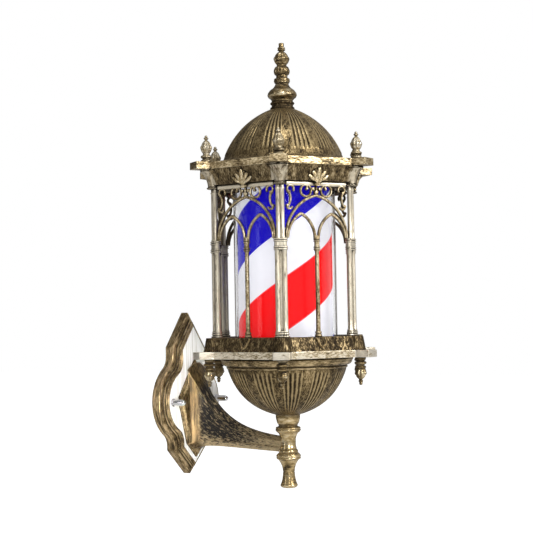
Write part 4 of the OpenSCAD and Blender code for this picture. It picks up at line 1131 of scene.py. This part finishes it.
def make_columns():
    shaft = turned([
        (SHAFT_R + 0.5, 0), (SHAFT_R + 0.5, 9.4), (SHAFT_R, 11, -0.05), (SHAFT_R - 0.1, GROUP_Z - 2),
        (SHAFT_R + 0.4, GROUP_Z), (SHAFT_R + 0.2, SPRING_H)
    ], 28)
    h = Z_CAPITAL - Z_DECK - SPRING_H
    upper = turned([
        (UPPER_R + 0.5, -2), (UPPER_R + 0.5, 1.5), (UPPER_R, 3), (UPPER_R - 0.1, h - 8),
        (UPPER_R + 0.4, h - 7, 0.3), (UPPER_R + 0.4, h - 5), (UPPER_R - 0.1, h - 4), (UPPER_R, h)
    ], 28)
    parts = []
    for side in (-1, 1):
        parts.append(moved(shaft, shifted(0, side * SHAFT_OFF)))
        parts.append(moved(upper, shifted(1, side * UPPER_OFF, SPRING_H)))
    beads = [(2.3, 0, 3.0), (1.8, 4.3, 2.4), (1.1, 7.6, 1.8)]
    beads += [(1.8, GROUP_Z + level * GROUP_STEP + 0.5, GROUP_STEP - 1) for level in GROUP_BEADS]
    parts += [oval_bead(SHAFT_R + out, z, height) for out, z, height in beads]
    parts.append(ringed([oval(SHAFT_R + 0.2, z) for z in (GROUP_Z, SPRING_H)]))
    web = ((-1.6, -SHAFT_OFF), (1.6, -SHAFT_OFF), (1.6, SHAFT_OFF), (-1.6, SHAFT_OFF))
    parts.append(ringed([[(x, y, z) for x, y in web] for z in (0, SPRING_H)]))
    six_pieces("paired_column", joined(*parts), COLUMN_BRASS,
               lambda i: at_corner(i, COLUMN_CIRCLE - 3, Z_DECK), "column", 34)


# Tracery

PANEL_X = COLUMN_CIRCLE * APOTHEM - 0.5
PANEL_HALF = COLUMN_CIRCLE / 2 - 7.5
BAR_W = 4.3
SCROLL_W = 3.5
RAIL_W = 7.6
RAIL_HALF = 50.5
BAR_T = 6
ARCH_HALF = PANEL_HALF - 2
ARCH_RISE = 64
LANCET_RISE = 36.5
MULLION_R = 3.4


def pointed_arch(x0, x1, rise):
    """The two halves of a pointed arch, as paths from its springing up to its point."""
    half = (x1 - x0) / 2
    middle = (x0 + x1) / 2
    shift = (rise * rise - half * half) / (2 * half)
    r = half + shift
    end = degrees(atan2(rise, shift))
    right = arc((middle - shift, 0), r, 0, end, 24)
    return [right, [(2 * middle - x, y) for x, y in right]]


def knob(u, v, r, depth):
    """A round boss at the end of a scroll."""
    boss = revolved([
        (0, -depth / 2), (r * 0.8, -depth / 2), (r, -depth / 4), (r, depth / 4),
        (r * 0.7, depth / 2 - 0.2), (0, depth / 2)
    ], 20)
    return moved(boss, shifted(u, v))


def spandrel_paths(rail_v):
    """Scrolls between the large arch and the rail, for the right-hand corner."""
    ring_v = rail_v - 11.6
    hook_u = PANEL_HALF - 10.2
    hook_v = rail_v - 9.6
    c_scroll = arc((17.2, ring_v), 8.8, -90, 270, 40)
    inner = arc((19.6, ring_v + 4.4), 4.4, 60, 215, 20)
    hook = arc((hook_u, hook_v), 5.6, -70, 215, 36)
    stem = arc((hook_u + 17, hook_v - 14), 17, 130, 222, 20)
    curl = arc((hook_u + 1.5, hook_v - 25.5), 4.1, 190, 365, 20)
    return [c_scroll, inner, hook, stem, curl]


def mirrored(paths):
    """The same paths for the left-hand side."""
    return [[(-x, y) for x, y in path[::-1]] for path in paths]


def make_tracery():
    spring_z = Z_DECK + SPRING_H
    rail_v = high("tracery_panel_1").z - spring_z - 3
    lancet = pointed_arch(MULLION_R - 0.4, PANEL_HALF - 5, LANCET_RISE)
    arches = pointed_arch(-ARCH_HALF, ARCH_HALF, ARCH_RISE) + lancet + mirrored(lancet)
    bars = [swept_bar(path, BAR_W, BAR_T) for path in arches]
    scrolls = spandrel_paths(rail_v)
    bars += [swept_bar(path, SCROLL_W, BAR_T - 1) for path in scrolls + mirrored(scrolls)]
    knobs = (
        (15.8, rail_v - 9.2, 2.2), (PANEL_HALF - 8, rail_v - 14.4, 2.6),
        (PANEL_HALF - 4.8, rail_v - 34.4, 2.4), (5.4, ARCH_RISE + 9.4, 2.9)
    )
    bars += [knob(side * u, v, r, BAR_T) for side in (-1, 1) for u, v, r in knobs]
    rail_middle = rail_v - RAIL_W / 2 + 3
    bars.append(swept_bar([(-RAIL_HALF, rail_middle), (RAIL_HALF, rail_middle)], RAIL_W, BAR_T))
    bars.append(knob(0, ARCH_RISE + 4.4, 3.8, BAR_T + 1))
    bars.append(swept_bar([(0, ARCH_RISE), (0, rail_v)], SCROLL_W, BAR_T))
    rows = [
        (5.2, 0, 0.3), (5.2, 3.4), (4, 4), (4, 4.8), (4.6, 5.2, 0.3), (4.6, 7.8),
        (MULLION_R, 8.8), (MULLION_R - 0.2, GROUP_Z - 1.5), (4.4, GROUP_Z - 0.5)
    ]
    for level in GROUP_BEADS:
        z = GROUP_Z + level * GROUP_STEP
        after = z + GROUP_STEP
        rows += [(4, z + 0.5), (4.8, z + 0.6, 0.8), (4.8, after - 0.6), (4, after - 0.5)]
    rows += [(4.2, SPRING_H + 0.5), (2.6, SPRING_H + 4)]
    mullion = moved(turned(rows, 36), shifted(z=-SPRING_H))
    panel = joined(moved(joined(*bars), UPRIGHT), mullion)
    six_pieces("tracery", panel, TRACERY_BRASS, lambda i: at_side(i, PANEL_X, spring_z), "tracery_panel")


# Palmettes on the cornice

# Leaves of the fan: root, bend and tip, then the leaf's width
LEAVES = (
    ((0, 4), (0, 13), (0, 22.5), 8),
    ((2.6, 4), (5.6, 11), (11, 16.5), 7), ((-2.6, 4), (-5.6, 11), (-11, 16.5), 7),
    ((4.6, 3), (10, 5), (16.5, 11), 6), ((-4.6, 3), (-10, 5), (-16.5, 11), 6)
)
LEAF_STEPS = 12
LEAF_T = 7.4
PALMETTE_RISE = -2
CORNICE_LOW_R = PLATE_R - 11
CORNICE_TOP_R = PLATE_R - 1
CORNICE_DROP = 24


def leaf(root, bend, tip, width):
    """A plump leaf of the fan, drawn through its bend to its tip."""
    path = []
    for i in range(LEAF_STEPS + 1):
        t = i / LEAF_STEPS
        shares = ((1 - t) ** 2, 2 * t * (1 - t), t * t)
        path.append(tuple(sum(s * p[k] for s, p in zip(shares, (root, bend, tip))) for k in (0, 1)))
    return swept_bar(path, width, LEAF_T, lambda t: 0.25 + 0.75 * sin(pi * (0.1 + 0.84 * t)) ** 0.7)


def make_palmettes():
    """A fan of leaves in a cup, on each leaning side of the cornice."""
    lean = Matrix.Rotation(atan((CORNICE_TOP_R - CORNICE_LOW_R) * APOTHEM / CORNICE_DROP), 4, "Y")
    r = CORNICE_LOW_R * APOTHEM + 0.8
    cup = []
    for w, v in ((2.2, -1.8), (4.4, 0), (9, 2.6), (12, 5.6), (10.6, 7)):
        cup.append([(-w, v, -2), (w, v, -2), (w * 0.7, v, 2.6), (-w * 0.7, v, 2.6)])
    bead = moved(knob(0, 0, 2.7, 8), shifted(0, -3.4) @ Matrix.Scale(2, 4, (1, 0, 0)))
    fan = joined(*[leaf(*sizes) for sizes in LEAVES], ringed(cup), bead)
    fan = moved(fan, lean @ UPRIGHT @ shifted(0, PALMETTE_RISE))
    six_pieces("palmette", fan, GOLD_BRASS, lambda i: at_side(i, r, Z_TOP - CORNICE_DROP))


CHEVRON_PATH = ((-9, 9.4), (-6.4, 2.4), (-3, -4.4), (0, -6.8), (3, -4.4), (6.4, 2.4), (9, 9.4))


def make_chevrons():
    """The raised V under each mullion, on the sloping skirt."""
    low_r = (PLATE_R - 0.5) * APOTHEM
    top_r = (PLATE_R - 8) * APOTHEM
    lean = Matrix.Rotation(-atan((low_r - top_r) / (Z_DECK - Z_SKIRT)), 4, "Y")
    bar = moved(swept_bar(CHEVRON_PATH, 3.6, 5), lean @ UPRIGHT)
    middle = ((low_r + top_r) / 2, (Z_SKIRT + Z_DECK) / 2)
    six_pieces("chevron", bar, FOOT_BRASS, lambda i: at_side(i, *middle))


make_wall_plate()
make_cap_nuts()
make_arm()
make_bowl()
make_bowl_ring()
make_dome()
make_stem()
make_top_finial()
make_small_finials()
make_columns()
make_tracery()
make_palmettes()
make_chevrons()


# Stage

WHITE = (1, 1, 1)
BLACK = (0, 0, 0)
KEY_WAY = (0.1, -1, 0.6)
AMBIENT_LOW = 0.1
AMBIENT_HIGH = 0.55
FLOOR_HALF = 9
FLOOR_DROP = 0.32
FLOOR_GLOW = 0.85
FAR_CLIP = 50
MIDDLE = (0, -0.2, 0.2)


def seen_directly(tree):
    """1 for camera and transmission rays."""
    path = add_node(tree, "LightPath").outputs
    camera_ray = Value(tree, path["Is Camera Ray"])
    return maths("ADD", camera_ray, Value(tree, path["Is Transmission Ray"]), clamp=True)


def lay_floor():
    """A floor that is white to the camera and keeps the object's shadow."""
    z = low("bottom_finial").z * MM - FLOOR_DROP
    corners = [(x * FLOOR_HALF, y * FLOOR_HALF, z) for x, y in ((-1, -1), (1, -1), (1, 1), (-1, 1))]
    mesh = bpy.data.meshes.new("floor")
    mesh.from_pydata(corners, [], [(0, 1, 2, 3)])
    material, spot = new_material("floor paint")
    grain = ranged(noise(spot, 30, 4, 0.5), 0.3, 0.7)
    mesh.materials.append(shaded(material, {
        "Base Color": blended(grain, (0.84, 0.84, 0.84), (0.88, 0.88, 0.88)), "Roughness": 0.8,
        "Emission Color": blended(seen_directly(spot.tree) * FLOOR_GLOW, BLACK, WHITE),
        "Emission Strength": 1.0
    }))
    floor = added("floor", mesh)


def light_world():
    """White behind the object; for its light, brighter towards the key lamp."""
    world = bpy.data.worlds.new("studio")
    world.use_nodes = True
    bpy.context.scene.world = world
    tree = world.node_tree
    way = value_of(tree, "TexCoord", "Generated")
    towards = vector_maths("DOT_PRODUCT", way, Vector(KEY_WAY).normalized(), "Value")
    glow = ranged(towards, -0.6, 1.0, AMBIENT_LOW, AMBIENT_HIGH)
    grey = value_of(tree, "CombineColor", 0, {0: glow, 1: glow, 2: glow})
    back = tree.nodes["Background"]
    back.inputs["Strength"].default_value = 1.0
    feed(back.inputs["Color"], blended(seen_directly(tree), grey, WHITE))


def soft_lamp(name, place, target, size, power, spread=180):
    """An area lamp aimed at a target. spread is the width of its beam in degrees."""
    data = bpy.data.lights.new(name, "AREA")
    data.shape = "RECTANGLE"
    data.size, data.size_y = size
    data.energy = power
    data.spread = radians(spread)
    lamp = added(name, data)
    lamp.location = place
    lamp.rotation_euler = (Vector(target) - Vector(place)).to_track_quat("-Z", "Y").to_euler()


def place_camera():
    data = bpy.data.cameras.new("camera")
    data.sensor_width = SENSOR_MM
    data.lens = FOCAL_PX / FRAME_PX * SENSOR_MM
    data.clip_end = FAR_CLIP
    camera = added("camera", data)
    aim = spun(-CAMERA_HEADING, "Z") @ spun(90 + CAMERA_PITCH, "X") @ spun(CAMERA_ROLL, "Z")
    camera.matrix_world = Matrix.Translation(CAMERA_AT) @ aim
    bpy.context.scene.camera = camera


lay_floor()
light_world()
soft_lamp("key lamp", (-0.1, -2.3, 1.2), MIDDLE, (0.8, 1.2), 35)
soft_lamp("front lamp", (-1.9, -1.9, 0.9), MIDDLE, (0.4, 0.8), 16)
soft_lamp("side lamp", (-2.1, 0.9, 0.8), MIDDLE, (0.5, 1.6), 4)
soft_lamp("top lamp", (-0.6, -0.6, 2.2), MIDDLE, (0.8, 0.8), 9)
soft_lamp("plate lamp", (-1.5, -0.95, -0.15), (-0.09, 0.076, 0.0), (0.2, 0.2), 0.5, 13)
place_camera()
bpy.context.scene.view_settings.view_transform = "Standard"
